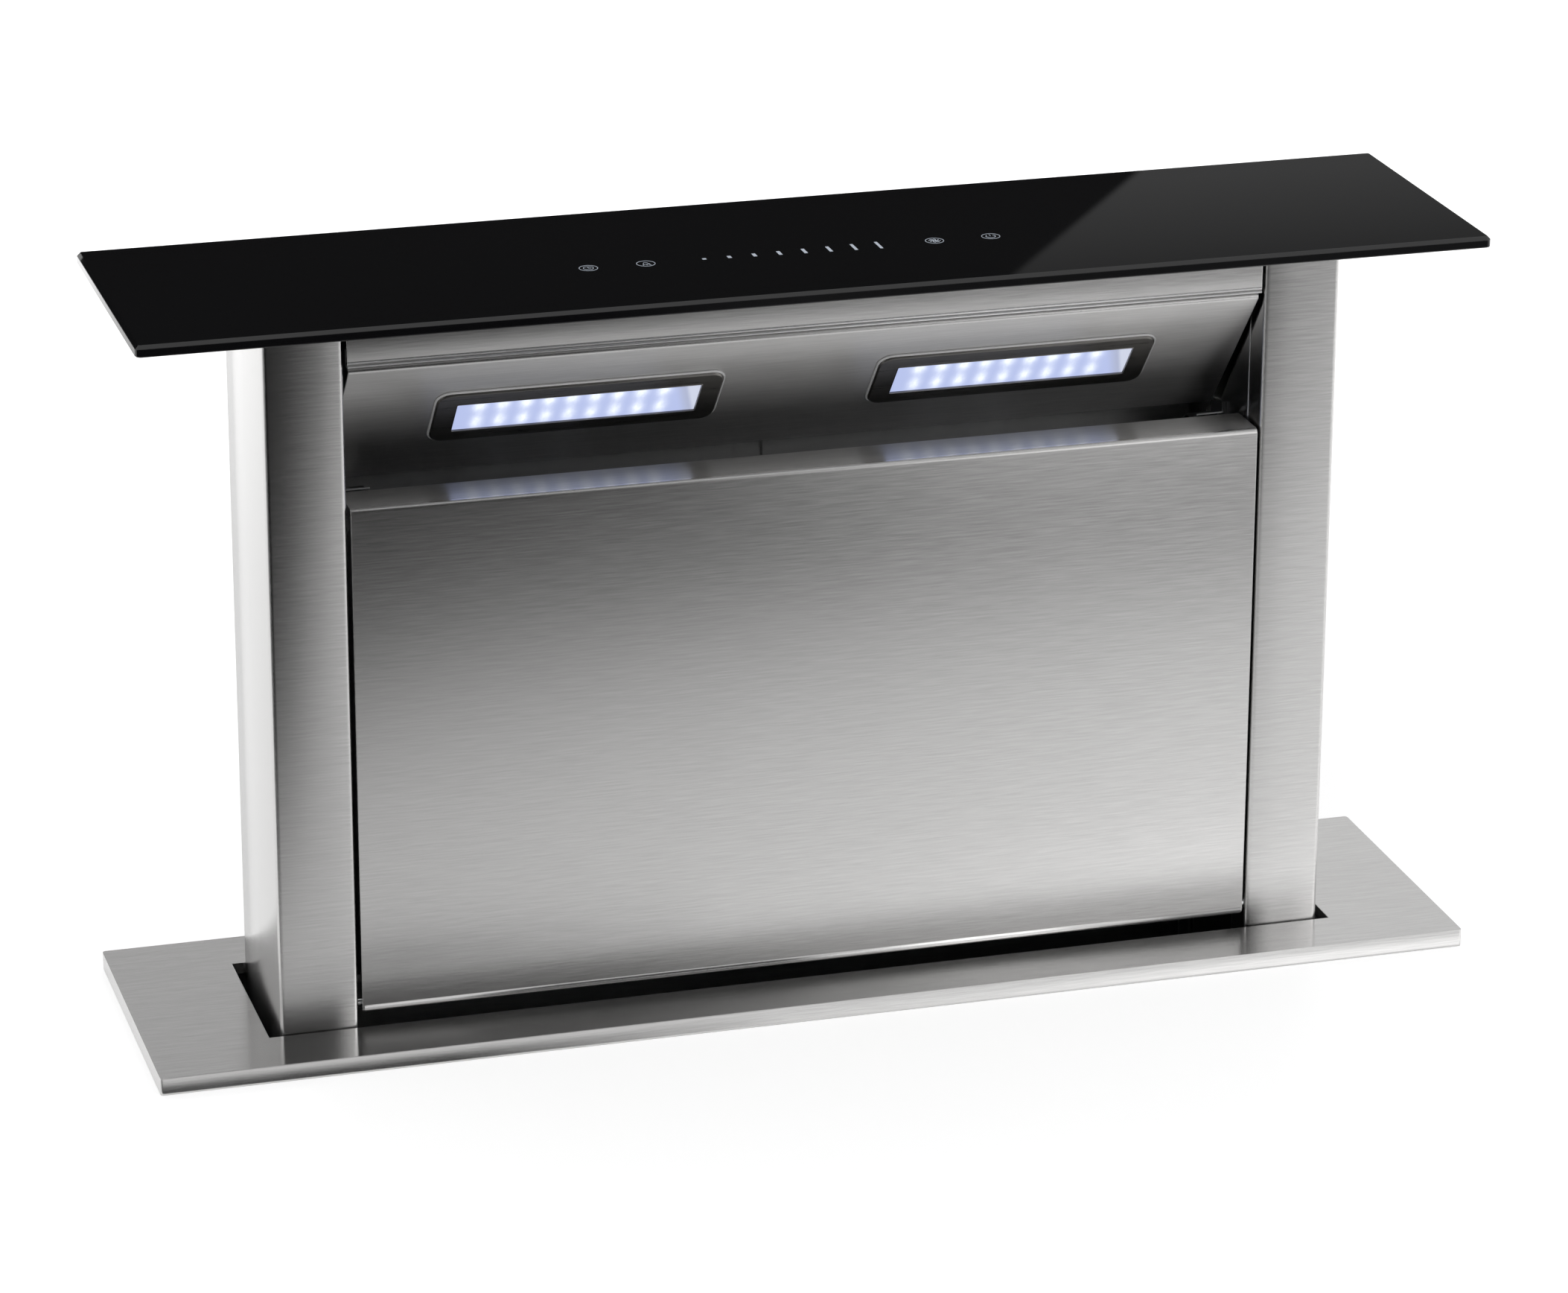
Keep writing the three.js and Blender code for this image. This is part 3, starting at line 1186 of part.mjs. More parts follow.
// plate under the column, with a neck out to a shoe that slides in the guide rail
function columnFoot(side) {
  const top = TAIL_Z - SEAT;
  const low = top - FOOT_T;
  const shoeTop = -22;
  const rail = CHASSIS_X - SHEET - SEAT;
  const head = [rail - RAIL_WALL - SHOE_PLAY, rail - RAIL_H + RAIL_WALL + SHOE_PLAY];
  const neck = RAIL_D / 2 - RAIL_LIP - SHOE_PLAY;
  const half = RAIL_D / 2 - RAIL_WALL - SHOE_PLAY;
  return block(side * INNER_X, side * TOWER_X, -TOWER_Y, TOWER_Y, low, top)
    .add(block(side * (TOWER_X - 2), side * (head[1] + 1), -neck, neck, low, top))
    .add(block(side * (TOWER_X + SEAT), side * (head[1] + 1), -neck, neck, low, shoeTop))
    .add(block(side * head[0], side * head[1], -half, half, low, shoeTop))
    .subtract(rodZ(NUT_R + SEAT, top - 6, top + 1, side * SCREW_X, SCREW_Y, 24));
}

function liftNut(side) {
  const top = TAIL_Z + NUT_FLANGE_T;
  const low = top - NUT_H + NUT_FLANGE_T;
  const bore = SCREW_R + SEAT;
  return turnedZ(
    [[bore, top], [NUT_FLANGE_R, top], [NUT_FLANGE_R, TAIL_Z], [NUT_R, TAIL_Z], [NUT_R, low], [bore, low],
      [bore, top]],
    side * SCREW_X, SCREW_Y, 20
  );
}

// ---- assembly -----------------------------------------------------------------------------

add('worktop_plate', worktopPlate(), STEEL);
add('chassis_front', chassisFront(), ZINC);
add('chassis_rear', chassisRear(), ZINC);
add('chassis_base', chassisBase(), ZINC);
add('drive_shelf', driveShelf(), ZINC);
add('lift_motor', liftMotor(), GREY_PLASTIC);
add('motor_pulley', motorPulley(), ALUMINIUM);
add('drive_belt', driveBelt(), RUBBER);
add('limit_switch_upper', limitSwitch(TAIL_Z + 8), BLACK_PLASTIC);
add('limit_switch_lower', limitSwitch(TAIL_Z + 8 - TRAVEL), BLACK_PLASTIC);
add('scroll_housing', scrollHousing(), ZINC);
add('scroll_cover', scrollCover(), ZINC);
add('blower_motor', blowerMotor(), GREY_PLASTIC);
add('blower_wheel', blowerWheel(), BLACK_PLASTIC);
add('outlet_adapter', outletAdapter(), BLACK_PLASTIC);
add('damper_pin', damperPin(), CHROME);
add('damper_flap_rear', damperFlap(1, [1]), GREY_PLASTIC);
add('damper_flap_front', damperFlap(-1, [0, 2]), GREY_PLASTIC);
add('control_box', controlBox(), GREY_PLASTIC);
add('control_box_lid', controlBoxLid(), GREY_PLASTIC);
add('mains_gland', mainsGland(), BLACK_PLASTIC);
add('tower_rear', towerRear(), STEEL);
add('header_rail', headerRail(), STEEL);
add('lamp_panel', lampPanel(), STEEL);
add('glass_carrier', glassCarrier(), ZINC);
add('glass_top', glassTop(), BLACK_GLASS);
add('touch_module', touchModule(), BLACK_PLASTIC);
add('sill_rail', sillRail(), STEEL);
add('front_panel', frontPanel(), STEEL);
add('hinge_rod', hingeRod(), CHROME);
for (const [where, side] of SIDES) {
  add(`chassis_side_${where}`, chassisSide(side), ZINC);
  add(`guide_rail_${where}`, guideRail(side), ZINC);
  add(`worktop_clamp_${where}`, worktopClamp(side), ZINC);
  add(`floor_bracket_${where}`, floorBracket(side), ZINC);
  add(`lead_screw_${where}`, leadScrew(side), CHROME);
  add(`lift_nut_${where}`, liftNut(side), BRASS);
  add(`column_${where}`, column(side), STEEL);
  add(`column_liner_${where}`, columnLiner(side), STEEL);
  add(`column_foot_${where}`, columnFoot(side), WHITE_PLASTIC);
  add(`panel_catch_${where}`, panelCatch(side), CHROME);
  add(`lamp_bezel_${where}`, placed(lampBezel(), lampMatrix(side)), DARK_TRIM);
  add(`lamp_lens_${where}`, placed(lampLens(), lampMatrix(side)), LENS);
  add(`led_board_${where}`, placed(ledBoard(), lampMatrix(side)), BOARD);
  add(`grease_filter_${where}`, placed(filterWithLugs(), filterMatrix(side)), ALUMINIUM);
  add(`filter_handle_${where}`, placed(filterHandle(), filterMatrix(side)), CHROME);
}

export default vent;
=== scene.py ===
"""A 60 cm downdraft vent, raised out of its worktop plate, in a pale studio.

The CAD nodes come from the frame and keep their shapes. This script gives them their finishes,
adds the small pieces that ride on them, and sets the stage. The tower's front faces -Y, and Z is
0 at the worktop. Lengths are in metres, except where a name or a comment says millimetres.
"""

import math
from functools import cached_property

import bmesh
import bpy
from mathutils import Matrix, Vector

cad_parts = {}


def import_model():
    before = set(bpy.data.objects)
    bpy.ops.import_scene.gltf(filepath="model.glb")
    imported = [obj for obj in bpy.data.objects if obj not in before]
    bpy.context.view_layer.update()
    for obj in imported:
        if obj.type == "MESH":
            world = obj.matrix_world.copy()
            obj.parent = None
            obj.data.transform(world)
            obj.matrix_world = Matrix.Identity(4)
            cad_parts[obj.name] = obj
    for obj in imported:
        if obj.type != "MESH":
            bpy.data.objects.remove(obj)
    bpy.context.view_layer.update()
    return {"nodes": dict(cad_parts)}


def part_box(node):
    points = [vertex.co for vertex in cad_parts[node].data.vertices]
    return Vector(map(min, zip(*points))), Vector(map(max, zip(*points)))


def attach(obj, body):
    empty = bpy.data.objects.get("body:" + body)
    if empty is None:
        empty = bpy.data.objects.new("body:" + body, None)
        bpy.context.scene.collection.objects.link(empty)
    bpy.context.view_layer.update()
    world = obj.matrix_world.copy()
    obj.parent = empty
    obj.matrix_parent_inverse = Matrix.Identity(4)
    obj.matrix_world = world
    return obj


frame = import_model()
nodes = frame["nodes"]

MM = 0.001
SIDES = (("left", -1), ("right", 1))


# ---- shader helpers ----------------------------------------------------------------------


class Shader:
    """The node tree of a material or world, with short calls for the nodes used here."""

    def __init__(self, holder):
        holder.use_nodes = True
        self.tree = holder.node_tree

    def feed(self, socket, value):
        """Link a value to a socket, or write it there. A colour gets its alpha."""
        if isinstance(value, bpy.types.NodeSocket):
            self.tree.links.new(value, socket)
            return
        if socket.type == "RGBA":
            value = (*value, 1.0)
        socket.default_value = value

    def node(self, kind, inputs=None, **settings):
        """A new node. Inputs are keyed by a socket's name or number."""
        made = self.tree.nodes.new(kind)
        for key, value in settings.items():
            setattr(made, key, value)
        for key, value in (inputs or {}).items():
            self.feed(made.inputs[key], value)
        return made

    @cached_property
    def place(self):
        """Object coordinates."""
        return self.node("ShaderNodeTexCoord").outputs["Object"]

    def axes(self, vector=None):
        return self.node("ShaderNodeSeparateXYZ", {0: vector or self.place}).outputs[:]

    def stretched(self, scale):
        mapping = self.node("ShaderNodeMapping", {"Vector": self.place, "Scale": scale})
        return mapping.outputs["Vector"]

    def noise(self, vector, scale=1.0, detail=3.0, roughness=0.6, output="Fac"):
        inputs = {"Vector": vector, "Scale": scale, "Detail": detail, "Roughness": roughness}
        return self.node("ShaderNodeTexNoise", inputs).outputs[output]

    def streaks(self, along, lengthwise, across, detail=2.0):
        """Noise drawn out along one axis; both scales are per metre."""
        scale = tuple(lengthwise if axis == along else across for axis in "xyz")
        return self.noise(self.stretched(scale), detail=detail)

    def crystals(self, vector, scale):
        """A cell pattern with a tone of its own for each cell."""
        cells = self.node("ShaderNodeTexVoronoi", {"Vector": vector, "Scale": scale})
        return self.axes(cells.outputs["Color"])[0]

    def math(self, operation, *values, clamp=False):
        inputs = dict(enumerate(values))
        return self.node("ShaderNodeMath", inputs, operation=operation, use_clamp=clamp).outputs[0]

    def add(self, a, b):
        return self.math("ADD", a, b)

    def times(self, a, b):
        return self.math("MULTIPLY", a, b)

    def remap(self, value, source, target=(0.0, 1.0), smooth=False):
        """The source range spread over the target range, held at its ends."""
        inputs = {
            "Value": value,
            "From Min": source[0],
            "From Max": source[1],
            "To Min": target[0],
            "To Max": target[1],
        }
        kind = "SMOOTHSTEP" if smooth else "LINEAR"
        made = self.node("ShaderNodeMapRange", inputs, interpolation_type=kind, clamp=True)
        return made.outputs["Result"]

    def blend(self, share, a, b):
        # a colour mix node holds several sockets of one name: its colours are 6 and 7
        made = self.node("ShaderNodeMix", {0: share}, data_type="RGBA")
        self.feed(made.inputs[6], a)
        self.feed(made.inputs[7], b)
        return made.outputs[2]


class Finish(Shader):
    """A Principled material."""

    def __init__(self, name, **values):
        self.material = bpy.data.materials.new(name)
        super().__init__(self.material)
        self.principled = self.tree.nodes["Principled BSDF"]
        self.set(**values)

    def set(self, **values):
        for key, value in values.items():
            name = key.replace("_", " ").title().replace("Ior", "IOR")
            self.feed(self.principled.inputs[name], value)

    def lay(self, along):
        """The direction of the polishing lines."""
        line = self.node("ShaderNodeCombineXYZ", {along.upper(): 1.0})
        self.feed(self.principled.inputs["Tangent"], line.outputs[0])

    def bump(self, height, distance, strength=1.0, rounding=None):
        """A relief, and with rounding also edges that shade as if broken by that radius."""
        inputs = {"Height": height, "Distance": distance, "Strength": strength}
        if rounding:
            edge = self.node("ShaderNodeBevel", {"Radius": rounding}, samples=4)
            inputs["Normal"] = edge.outputs["Normal"]
        relief = self.node("ShaderNodeBump", inputs)
        self.feed(self.principled.inputs["Normal"], relief.outputs["Normal"])


# ---- materials ---------------------------------------------------------------------------


def shaded(tone, factor, lift=0.0):
    return tuple(min(1.0, c * factor + lift) for c in tone)


STEEL_TONE = (0.60, 0.595, 0.59)
STEEL_ROUGHNESS = 0.205
LAMP_SHEET_COARSER = 0.10  # what the lamp sheet's roughness has over the other steel


def lamp_sheet(f):
    """1 on the sloping sheet that holds the lamps, which is polished less than the rest."""
    x, y, z = f.axes()
    between_columns = f.remap(f.math("ABSOLUTE", x), (0.2050, 0.2054), (1.0, 0.0))
    behind_header = f.remap(y, (-0.0392, -0.0386))
    before_rear_sheet = f.remap(y, (0.0360, 0.0370), (1.0, 0.0))
    above_cove = f.remap(z, (0.2405, 0.2425))
    depth = f.times(behind_header, before_rear_sheet)
    return f.times(f.times(between_columns, depth), above_cove)


def brushed_steel(along):
    """Stainless sheet with its polishing lines along one axis, which spread light across them."""
    f = Finish("brushed_steel", metallic=1.0, anisotropic=0.97, anisotropic_rotation=0.25)
    fine = f.streaks(along, 60.0, 2100.0)
    broad = f.streaks(along, 30.0, 950.0)
    grain = f.add(f.times(fine, 0.6), f.times(broad, 0.4))
    contrast = (0.38, 0.62)
    tone = f.blend(f.remap(grain, contrast), shaded(STEEL_TONE, 0.94), shaded(STEEL_TONE, 1.06))
    cloud = f.remap(f.noise(f.place, scale=7.0, detail=2.0), (0.3, 0.7), (-0.008, 0.008))
    lines = f.remap(grain, contrast, (STEEL_ROUGHNESS - 0.008, STEEL_ROUGHNESS + 0.010))
    coarser = f.times(lamp_sheet(f), LAMP_SHEET_COARSER)
    f.set(base_color=tone, roughness=f.add(f.add(lines, cloud), coarser))
    f.lay(along)
    f.bump(grain, distance=0.00001, strength=0.15, rounding=0.0006)
    return f.material


def zinc_sheet():
    """Hot-dip galvanised sheet: small crystals, each of its own tone, and a little dulling."""
    f = Finish("zinc_sheet", metallic=0.9)
    wander = f.noise(f.place, scale=120.0, detail=2.0, roughness=0.5, output="Color")
    reach = (0.006, 0.006, 0.006)
    inputs = {0: wander, 1: reach, 2: f.place}
    wandered = f.node("ShaderNodeVectorMath", inputs, operation="MULTIPLY_ADD").outputs[0]
    crystal = f.crystals(wandered, 125.0)
    speckle = f.noise(f.stretched((900.0, 900.0, 1500.0)), detail=2.0)
    dull = f.noise(f.place, scale=14.0, detail=5.0, roughness=0.7)
    shade = f.add(f.times(crystal, 0.7), f.times(speckle, 0.3))
    bright = f.blend(shade, (0.50, 0.515, 0.53), (0.60, 0.612, 0.625))
    dulled = f.blend(f.remap(dull, (0.5, 0.8), (0.0, 0.35)), bright, (0.42, 0.43, 0.43))
    rough = f.remap(crystal, (0.0, 1.0), (0.33, 0.43))
    f.set(base_color=dulled, roughness=f.add(rough, f.remap(dull, (0.4, 0.7), (0.0, 0.07))))
    relief = f.add(crystal, f.times(speckle, 0.5))
    f.bump(relief, distance=0.00003, strength=0.3, rounding=0.0005)
    return f.material


def turned_metal(name, tone, rough, scale=(700.0, 700.0, 700.0), metallic=1.0):
    """Turned or plated metal with faint tool marks."""
    f = Finish(name, metallic=metallic)
    marks = f.noise(f.stretched(scale))
    f.set(base_color=f.blend(marks, shaded(tone, 0.88), tone))
    f.set(roughness=f.remap(marks, (0.3, 0.7), (rough * 0.75, rough * 1.3)))
    f.bump(marks, distance=0.00005, strength=0.3, rounding=0.0003)
    return f.material


def moulding(name, tone, rough, grain=1600.0, depth=0.00006):
    """Moulded plastic or rubber with a spark-eroded grain and a few scuffs."""
    f = Finish(name)
    texture = f.noise(f.place, scale=grain, detail=2.0)
    scuff = f.noise(f.place, scale=75.0, detail=4.0, roughness=0.65)
    scuffed = f.remap(scuff, (0.35, 0.7))
    f.set(base_color=f.blend(scuffed, shaded(tone, 0.94), shaded(tone, 1.06, 0.003)))
    rough = f.remap(texture, (0.3, 0.7), (rough - 0.06, rough + 0.04))
    f.set(roughness=f.add(rough, f.remap(scuff, (0.4, 0.7), (0.0, 0.06))))
    f.bump(texture, distance=depth, strength=0.5, rounding=0.0004)
    return f.material


def motor_paint():
    """Dark enamel over a sheet or cast casing."""
    f = Finish("motor_paint", coat_weight=0.3)
    peel = f.noise(f.place, scale=420.0, detail=2.0)
    worn = f.noise(f.place, scale=55.0, detail=5.0, roughness=0.7)
    tone = f.blend(f.remap(worn, (0.45, 0.7)), (0.052, 0.054, 0.059), (0.074, 0.076, 0.082))
    f.set(base_color=tone, roughness=f.remap(worn, (0.3, 0.7), (0.28, 0.46)))
    f.bump(peel, distance=0.00015, strength=0.5, rounding=0.0006)
    return f.material


def black_glass():
    """Float glass, black throughout, with hardly a wave and a little dust."""
    f = Finish("black_glass", ior=1.5)
    wave = f.noise(f.place, scale=3.0, detail=1.0)
    dust = f.noise(f.place, scale=500.0, detail=2.0)
    f.set(base_color=f.blend(wave, (0.003, 0.003, 0.0035), (0.005, 0.005, 0.0055)))
    f.set(roughness=f.remap(dust, (0.55, 0.8), (0.03, 0.07)))
    f.bump(wave, distance=0.00005, strength=0.1, rounding=0.0004)
    return f.material


def dark_trim():
    """Smoked metal of the lamp frames."""
    f = Finish("dark_trim", metallic=1.0, anisotropic=0.6, anisotropic_rotation=0.25)
    lines = f.streaks("x", 40.0, 1200.0, detail=3.0)
    f.set(base_color=f.blend(lines, (0.17, 0.163, 0.155), (0.27, 0.262, 0.25)))
    f.set(roughness=f.remap(lines, (0.3, 0.7), (0.26, 0.36)))
    f.lay("x")
    f.bump(lines, distance=0.00002, strength=0.3, rounding=0.0004)
    return f.material


LED_PITCH = 0.0102
LED_COUNT = 9
LED_SHIFT = -0.003  # from the lens's middle to the row's
# height on the lens and half height, as shares of the lens, half width in metres, and power
LED_GLOWS = (
    {"level": 0.33, "tall": 0.17, "wide": 0.0030, "power": 0.95},
    {"level": -0.28, "tall": 0.20, "wide": 0.0027, "power": 0.75},
    {"level": 0.02, "tall": 0.50, "wide": 0.0026, "power": 0.34},
)


def led_light(f, u, v):
    """The two rows of LEDs and the glow between them; u is across the lens, v up it."""
    first = LED_SHIFT - (LED_COUNT - 1) / 2 * LED_PITCH
    step = f.math("DIVIDE", f.math("SUBTRACT", u, first), LED_PITCH)
    nearest = f.math("MINIMUM", f.math("MAXIMUM", f.math("ROUND", step), 0.0), LED_COUNT - 1.0)
    away = f.times(f.math("SUBTRACT", step, nearest), LED_PITCH)
    away_squared = f.times(away, away)
    light = None
    for glow in LED_GLOWS:
        up = f.math("DIVIDE", f.math("SUBTRACT", v, glow["level"]), glow["tall"])
        spread = f.times(away_squared, 1.0 / glow["wide"] ** 2)
        fall = f.math("EXPONENT", f.times(f.add(spread, f.times(up, up)), -1.0))
        spot = f.times(fall, glow["power"])
        light = spot if light is None else f.math("ADD", light, spot, clamp=True)
    return light


def lamp_glass():
    """The lit window: frosted cover with two rows of LEDs shining through."""
    f = Finish("lamp_glass", roughness=0.2, base_color=(0.05, 0.05, 0.06))
    low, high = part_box("lamp_lens_right")
    middle, size = (low + high) / 2, high - low
    x, _, z = f.axes()
    u = f.math("SUBTRACT", x, f.times(f.math("SIGN", x), middle.x))
    v = f.math("DIVIDE", f.math("SUBTRACT", z, middle.z), size.z)
    frost = f.noise(f.stretched((500.0, 260.0, 260.0)), detail=2.0)
    veil = f.remap(frost, (0.3, 0.7), (0.75, 1.15))
    share = f.math("MULTIPLY", led_light(f, u, v), veil, clamp=True)
    tint = f.blend(share, (0.50, 0.575, 0.88), (0.85, 0.905, 1.0))
    # past the last LED the reflector ends in a slanted wall: its grey is painted shade and its
    # pale edge a painted highlight
    slant = f.add(u, f.times(v, 0.006))
    end = size.x / 2
    wall = f.remap(slant, (end - 0.0105, end - 0.0045), smooth=True)
    tint = f.blend(f.times(wall, 0.55), tint, (0.42, 0.44, 0.52))
    edge = f.remap(slant, (end - 0.0050, end - 0.0025), smooth=True)
    tint = f.blend(f.times(edge, 0.6), tint, (0.80, 0.84, 0.95))
    f.set(emission_color=tint, emission_strength=f.add(f.times(share, 0.22), 0.93))
    f.bump(frost, distance=0.00004, strength=0.3)
    return f.material


def white_plastic():
    """The LED boards' white lacquer."""
    f = Finish("white_plastic", roughness=0.5)
    fine = f.noise(f.place, scale=700.0)
    f.set(base_color=f.blend(fine, (0.74, 0.74, 0.72), (0.84, 0.84, 0.82)))
    f.bump(fine, distance=0.00004, strength=0.4)
    return f.material


def printed_symbol_with_glow():
    """Ink of the touch symbols, with a faint painted glow so that it reads on the black glass."""
    f = Finish("printed_symbol_with_glow", roughness=0.4)
    speckle = f.noise(f.place, scale=2500.0)
    f.set(base_color=f.blend(speckle, (0.30, 0.33, 0.38), (0.42, 0.45, 0.50)))
    # a faint painted glow on the ink
    f.set(emission_color=(0.55, 0.62, 0.72), emission_strength=0.22)
    return f.material


# one finish for each slot of the CAD nodes
finishes = {
    "brushed_steel": brushed_steel("x"),
    "zinc_sheet": zinc_sheet(),
    "chrome": turned_metal("chrome", (0.80, 0.81, 0.82), 0.12),
    "aluminium": turned_metal("aluminium", (0.70, 0.71, 0.72), 0.34, (60.0, 500.0, 500.0)),
    "brass": turned_metal("brass", (0.62, 0.44, 0.19), 0.28),
    "black_glass": black_glass(),
    "lamp_glass": lamp_glass(),
    "dark_trim": dark_trim(),
    "black_plastic": moulding("black_plastic", (0.022, 0.022, 0.023), 0.46),
    "grey_plastic": moulding("grey_plastic", (0.26, 0.27, 0.28), 0.5),
    "white_plastic": white_plastic(),
    "motor_paint": motor_paint(),
    "belt_rubber": moulding("belt_rubber", (0.02, 0.02, 0.02), 0.7, 900.0, 0.0002),
}
# and three more for printed and rolled pieces
ink_with_painted_glow = printed_symbol_with_glow()
# a paler copy of the steel for the header's beads: its tone is a painted highlight
painted_highlight_edge = turned_metal("painted_highlight_edge", (0.86, 0.86, 0.86), 0.55)
rim_edge = turned_metal("rim_edge", (0.62, 0.62, 0.62), 0.5, metallic=0.4)


WELD = 0.00001
GENTLE_BEND = math.radians(31)  # sharper edges than this stay sharp


def smoothing():
    """A node group that joins the CAD mesh's corners and shades its bends smoothly."""
    group = bpy.data.node_groups.new("smooth_bends", "GeometryNodeTree")
    group.interface.new_socket("Geometry", in_out="INPUT", socket_type="NodeSocketGeometry")
    group.interface.new_socket("Geometry", in_out="OUTPUT", socket_type="NodeSocketGeometry")
    new = group.nodes.new
    join = group.links.new
    clear = new("GeometryNodeRemoveAttribute")
    clear.inputs["Name"].default_value = "custom_normal"
    weld = new("GeometryNodeMergeByDistance")
    weld.inputs["Distance"].default_value = WELD
    faces = new("GeometryNodeSetShadeSmooth")
    faces.domain = "FACE"
    edges = new("GeometryNodeSetShadeSmooth")
    edges.domain = "EDGE"
    angle = new("GeometryNodeInputMeshEdgeAngle")
    gentle = new("FunctionNodeCompare")
    gentle.operation = "LESS_THAN"
    gentle.inputs[1].default_value = GENTLE_BEND
    join(angle.outputs["Unsigned Angle"], gentle.inputs[0])
    join(gentle.outputs["Result"], edges.inputs["Shade Smooth"])
    shape = new("NodeGroupInput").outputs[0]
    for step in (clear, weld, faces, edges):
        join(shape, step.inputs["Geometry"])
        shape = step.outputs["Geometry"]
    join(shape, new("NodeGroupOutput").inputs[0])
    return group


smooth_bends = smoothing()
for node in nodes.values():
    for holder in node.material_slots:
        holder.material = finishes[holder.name]
    node.modifiers.new("smooth bends", "NODES").node_group = smooth_bends


# ---- how pieces are built ----------------------------------------------------------------


def piece(name, body, slot, mesh_builder, material=None):
    """A mesh piece in the row frame that rides on a body."""
    mesh = bpy.data.meshes.new(name)
    work = bmesh.new()
    mesh_builder(work)
    bmesh.ops.recalc_face_normals(work, faces=work.faces)
    work.to_mesh(mesh)
    work.free()
    made = bpy.data.objects.new(name, mesh)
    bpy.context.scene.collection.objects.link(made)
    mesh.materials.append(material or finishes[slot])
    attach(made, body)


def skin(work, rows, closed=False, smooth=False):
    """Faces from each row of vertices to the next. An open skin gets a lid at each end."""
    count = len(rows[0])
    faces = []
    following = rows[1:] + rows[:1] if closed else rows[1:]
    for a, b in zip(rows, following):
        for k in range(count):
            faces.append(work.faces.new((a[k], a[(k + 1) % count], b[(k + 1) % count], b[k])))
    if not closed:
        faces += [work.faces.new(rows[0][::-1]), work.faces.new(rows[-1])]
    for face in faces:
        face.smooth = smooth


def directions(points, closed):
    """The direction of a line at each of its points."""
    count = len(points)
    for i, point in enumerate(points):
        before = points[i - 1] if i or closed else point
        after = points[(i + 1) % count] if i + 1 < count or closed else point
        yield Vector([b - a for a, b in zip(before, after)]).normalized()


def stroke(work, points, width, z, thickness=0.00008, closed=False):
    """A flat printed line on the glass."""
    section = ((-1, 0), (-1, thickness), (1, thickness), (1, 0))
    rows = []
    for (x, y), run in zip(points, directions(points, closed)):
        side = Vector((-run.y, run.x)) * width / 2
        rows.append([work.verts.new((x + s * side.x, y + s * side.y, z + h)) for s, h in section])
    skin(work, rows, closed)


def tube(work, points, radius, sides=8, closed=False):
    """A round wire along points."""
    rows = []
    first = None
    for point, run in zip(points, directions(points, closed)):
        first = run.orthogonal() if first is None else first - run * first.dot(run)
        first.normalize()
        second = run.cross(first)
        row = []
        for k in range(sides):
            a = 2 * math.pi * k / sides
            corner = point + first * math.cos(a) * radius + second * math.sin(a) * radius
            row.append(work.verts.new(corner))
        rows.append(row)
    skin(work, rows, closed, smooth=True)


def bar(half, y, z, radius, sides=8):
    """Builds a round bar along X, reaching as far to the left as to the right."""
    return lambda work: tube(work, [Vector((x, y, z)) for x in (-half, 0.0, half)], radius, sides)


def polar(radius, degrees):
    turn = math.radians(degrees)
    return radius * math.cos(turn), radius * math.sin(turn)


def arc(x, y, radius, start, end, steps):
    """Points on an arc, angles in degrees."""
    spokes = [polar(radius, start + (end - start) * i / steps) for i in range(steps + 1)]
    return [(x + across, y + up) for across, up in spokes]


# ---- touch symbols -----------------------------------------------------------------------


GLASS_TOP = 0.336
SYMBOL_Y = -0.0125
TIMER_X, LAMP_X, FAN_X, POWER_X = -0.0925, -0.0671, 0.0627, 0.0884  # the four round keys
KEY_RADIUS = 0.0040
LINE, FINE_LINE, POWER_LINE, FAN_LINE = 0.00024, 0.00022, 0.00026, 0.0003
BAR_COUNT, FIRST_BAR_X, BAR_PITCH = 8, -0.0411, 0.0112
BAR_LENGTH, BAR_GROWTH = 0.0018, 0.0082  # of the first bar, and by how much the last is longer
BAR_WIDTH, BAR_THINNING = 0.0017, 0.0004  # and by how much the last is narrower


def symbols(work):
    """Generic keys on the glass: timer, lamp, eight speeds, fan and power."""

    def draw(x, points, width, closed=False):
        placed = [(x + across, SYMBOL_Y + up) for across, up in points]
        stroke(work, placed, width, GLASS_TOP, closed=closed)

    def ring(x, radius, width=LINE):
        draw(x, arc(0, 0, radius, 0, 360, 40)[:-1], width, closed=True)

    for x in (TIMER_X, LAMP_X, FAN_X, POWER_X):
        ring(x, KEY_RADIUS)
    # timer: dial and hands
    ring(TIMER_X, 0.0022, FINE_LINE)
    draw(TIMER_X, [(0, 0.0014), (0, 0), (0.0011, -0.0004)], FINE_LINE)
    # lamp: shade and three rays
    shade = [(-0.0016, -0.0012), (-0.0006, 0.0014), (0.0006, 0.0014), (0.0016, -0.0012)]
    draw(LAMP_X, shade, FINE_LINE, closed=True)
    for shift in (-0.0012, 0.0, 0.0012):
        draw(LAMP_X, [(shift, -0.0016), (shift * 1.5, -0.0026)], FINE_LINE)
    # fan: eight bent blades round a hub
    for turn in range(0, 360, 45):
        blade = [polar(0.0009, turn), polar(0.0019, turn + 14), polar(0.0027, turn + 38)]
        draw(FAN_X, blade, FAN_LINE)
    ring(FAN_X, 0.0007, FAN_LINE)
    # power: an open ring and a bar
    draw(POWER_X, arc(0, 0, 0.0021, 130, 410, 24), POWER_LINE)
    draw(POWER_X, [(0, 0.0027), (0, 0.0004)], FINE_LINE)
    # speeds: bars, each longer and narrower than the last
    for k in range(BAR_COUNT):
        share = k / (BAR_COUNT - 1)
        half = (BAR_LENGTH + BAR_GROWTH * share) / 2
        width = BAR_WIDTH - BAR_THINNING * share
        draw(FIRST_BAR_X + BAR_PITCH * k, [(0, -half), (0, half)], width)


piece("touch_symbols", "tower", "black_glass", symbols, ink_with_painted_glow)


# ---- rims, beads and the panel's foot ----------------------------------------------------


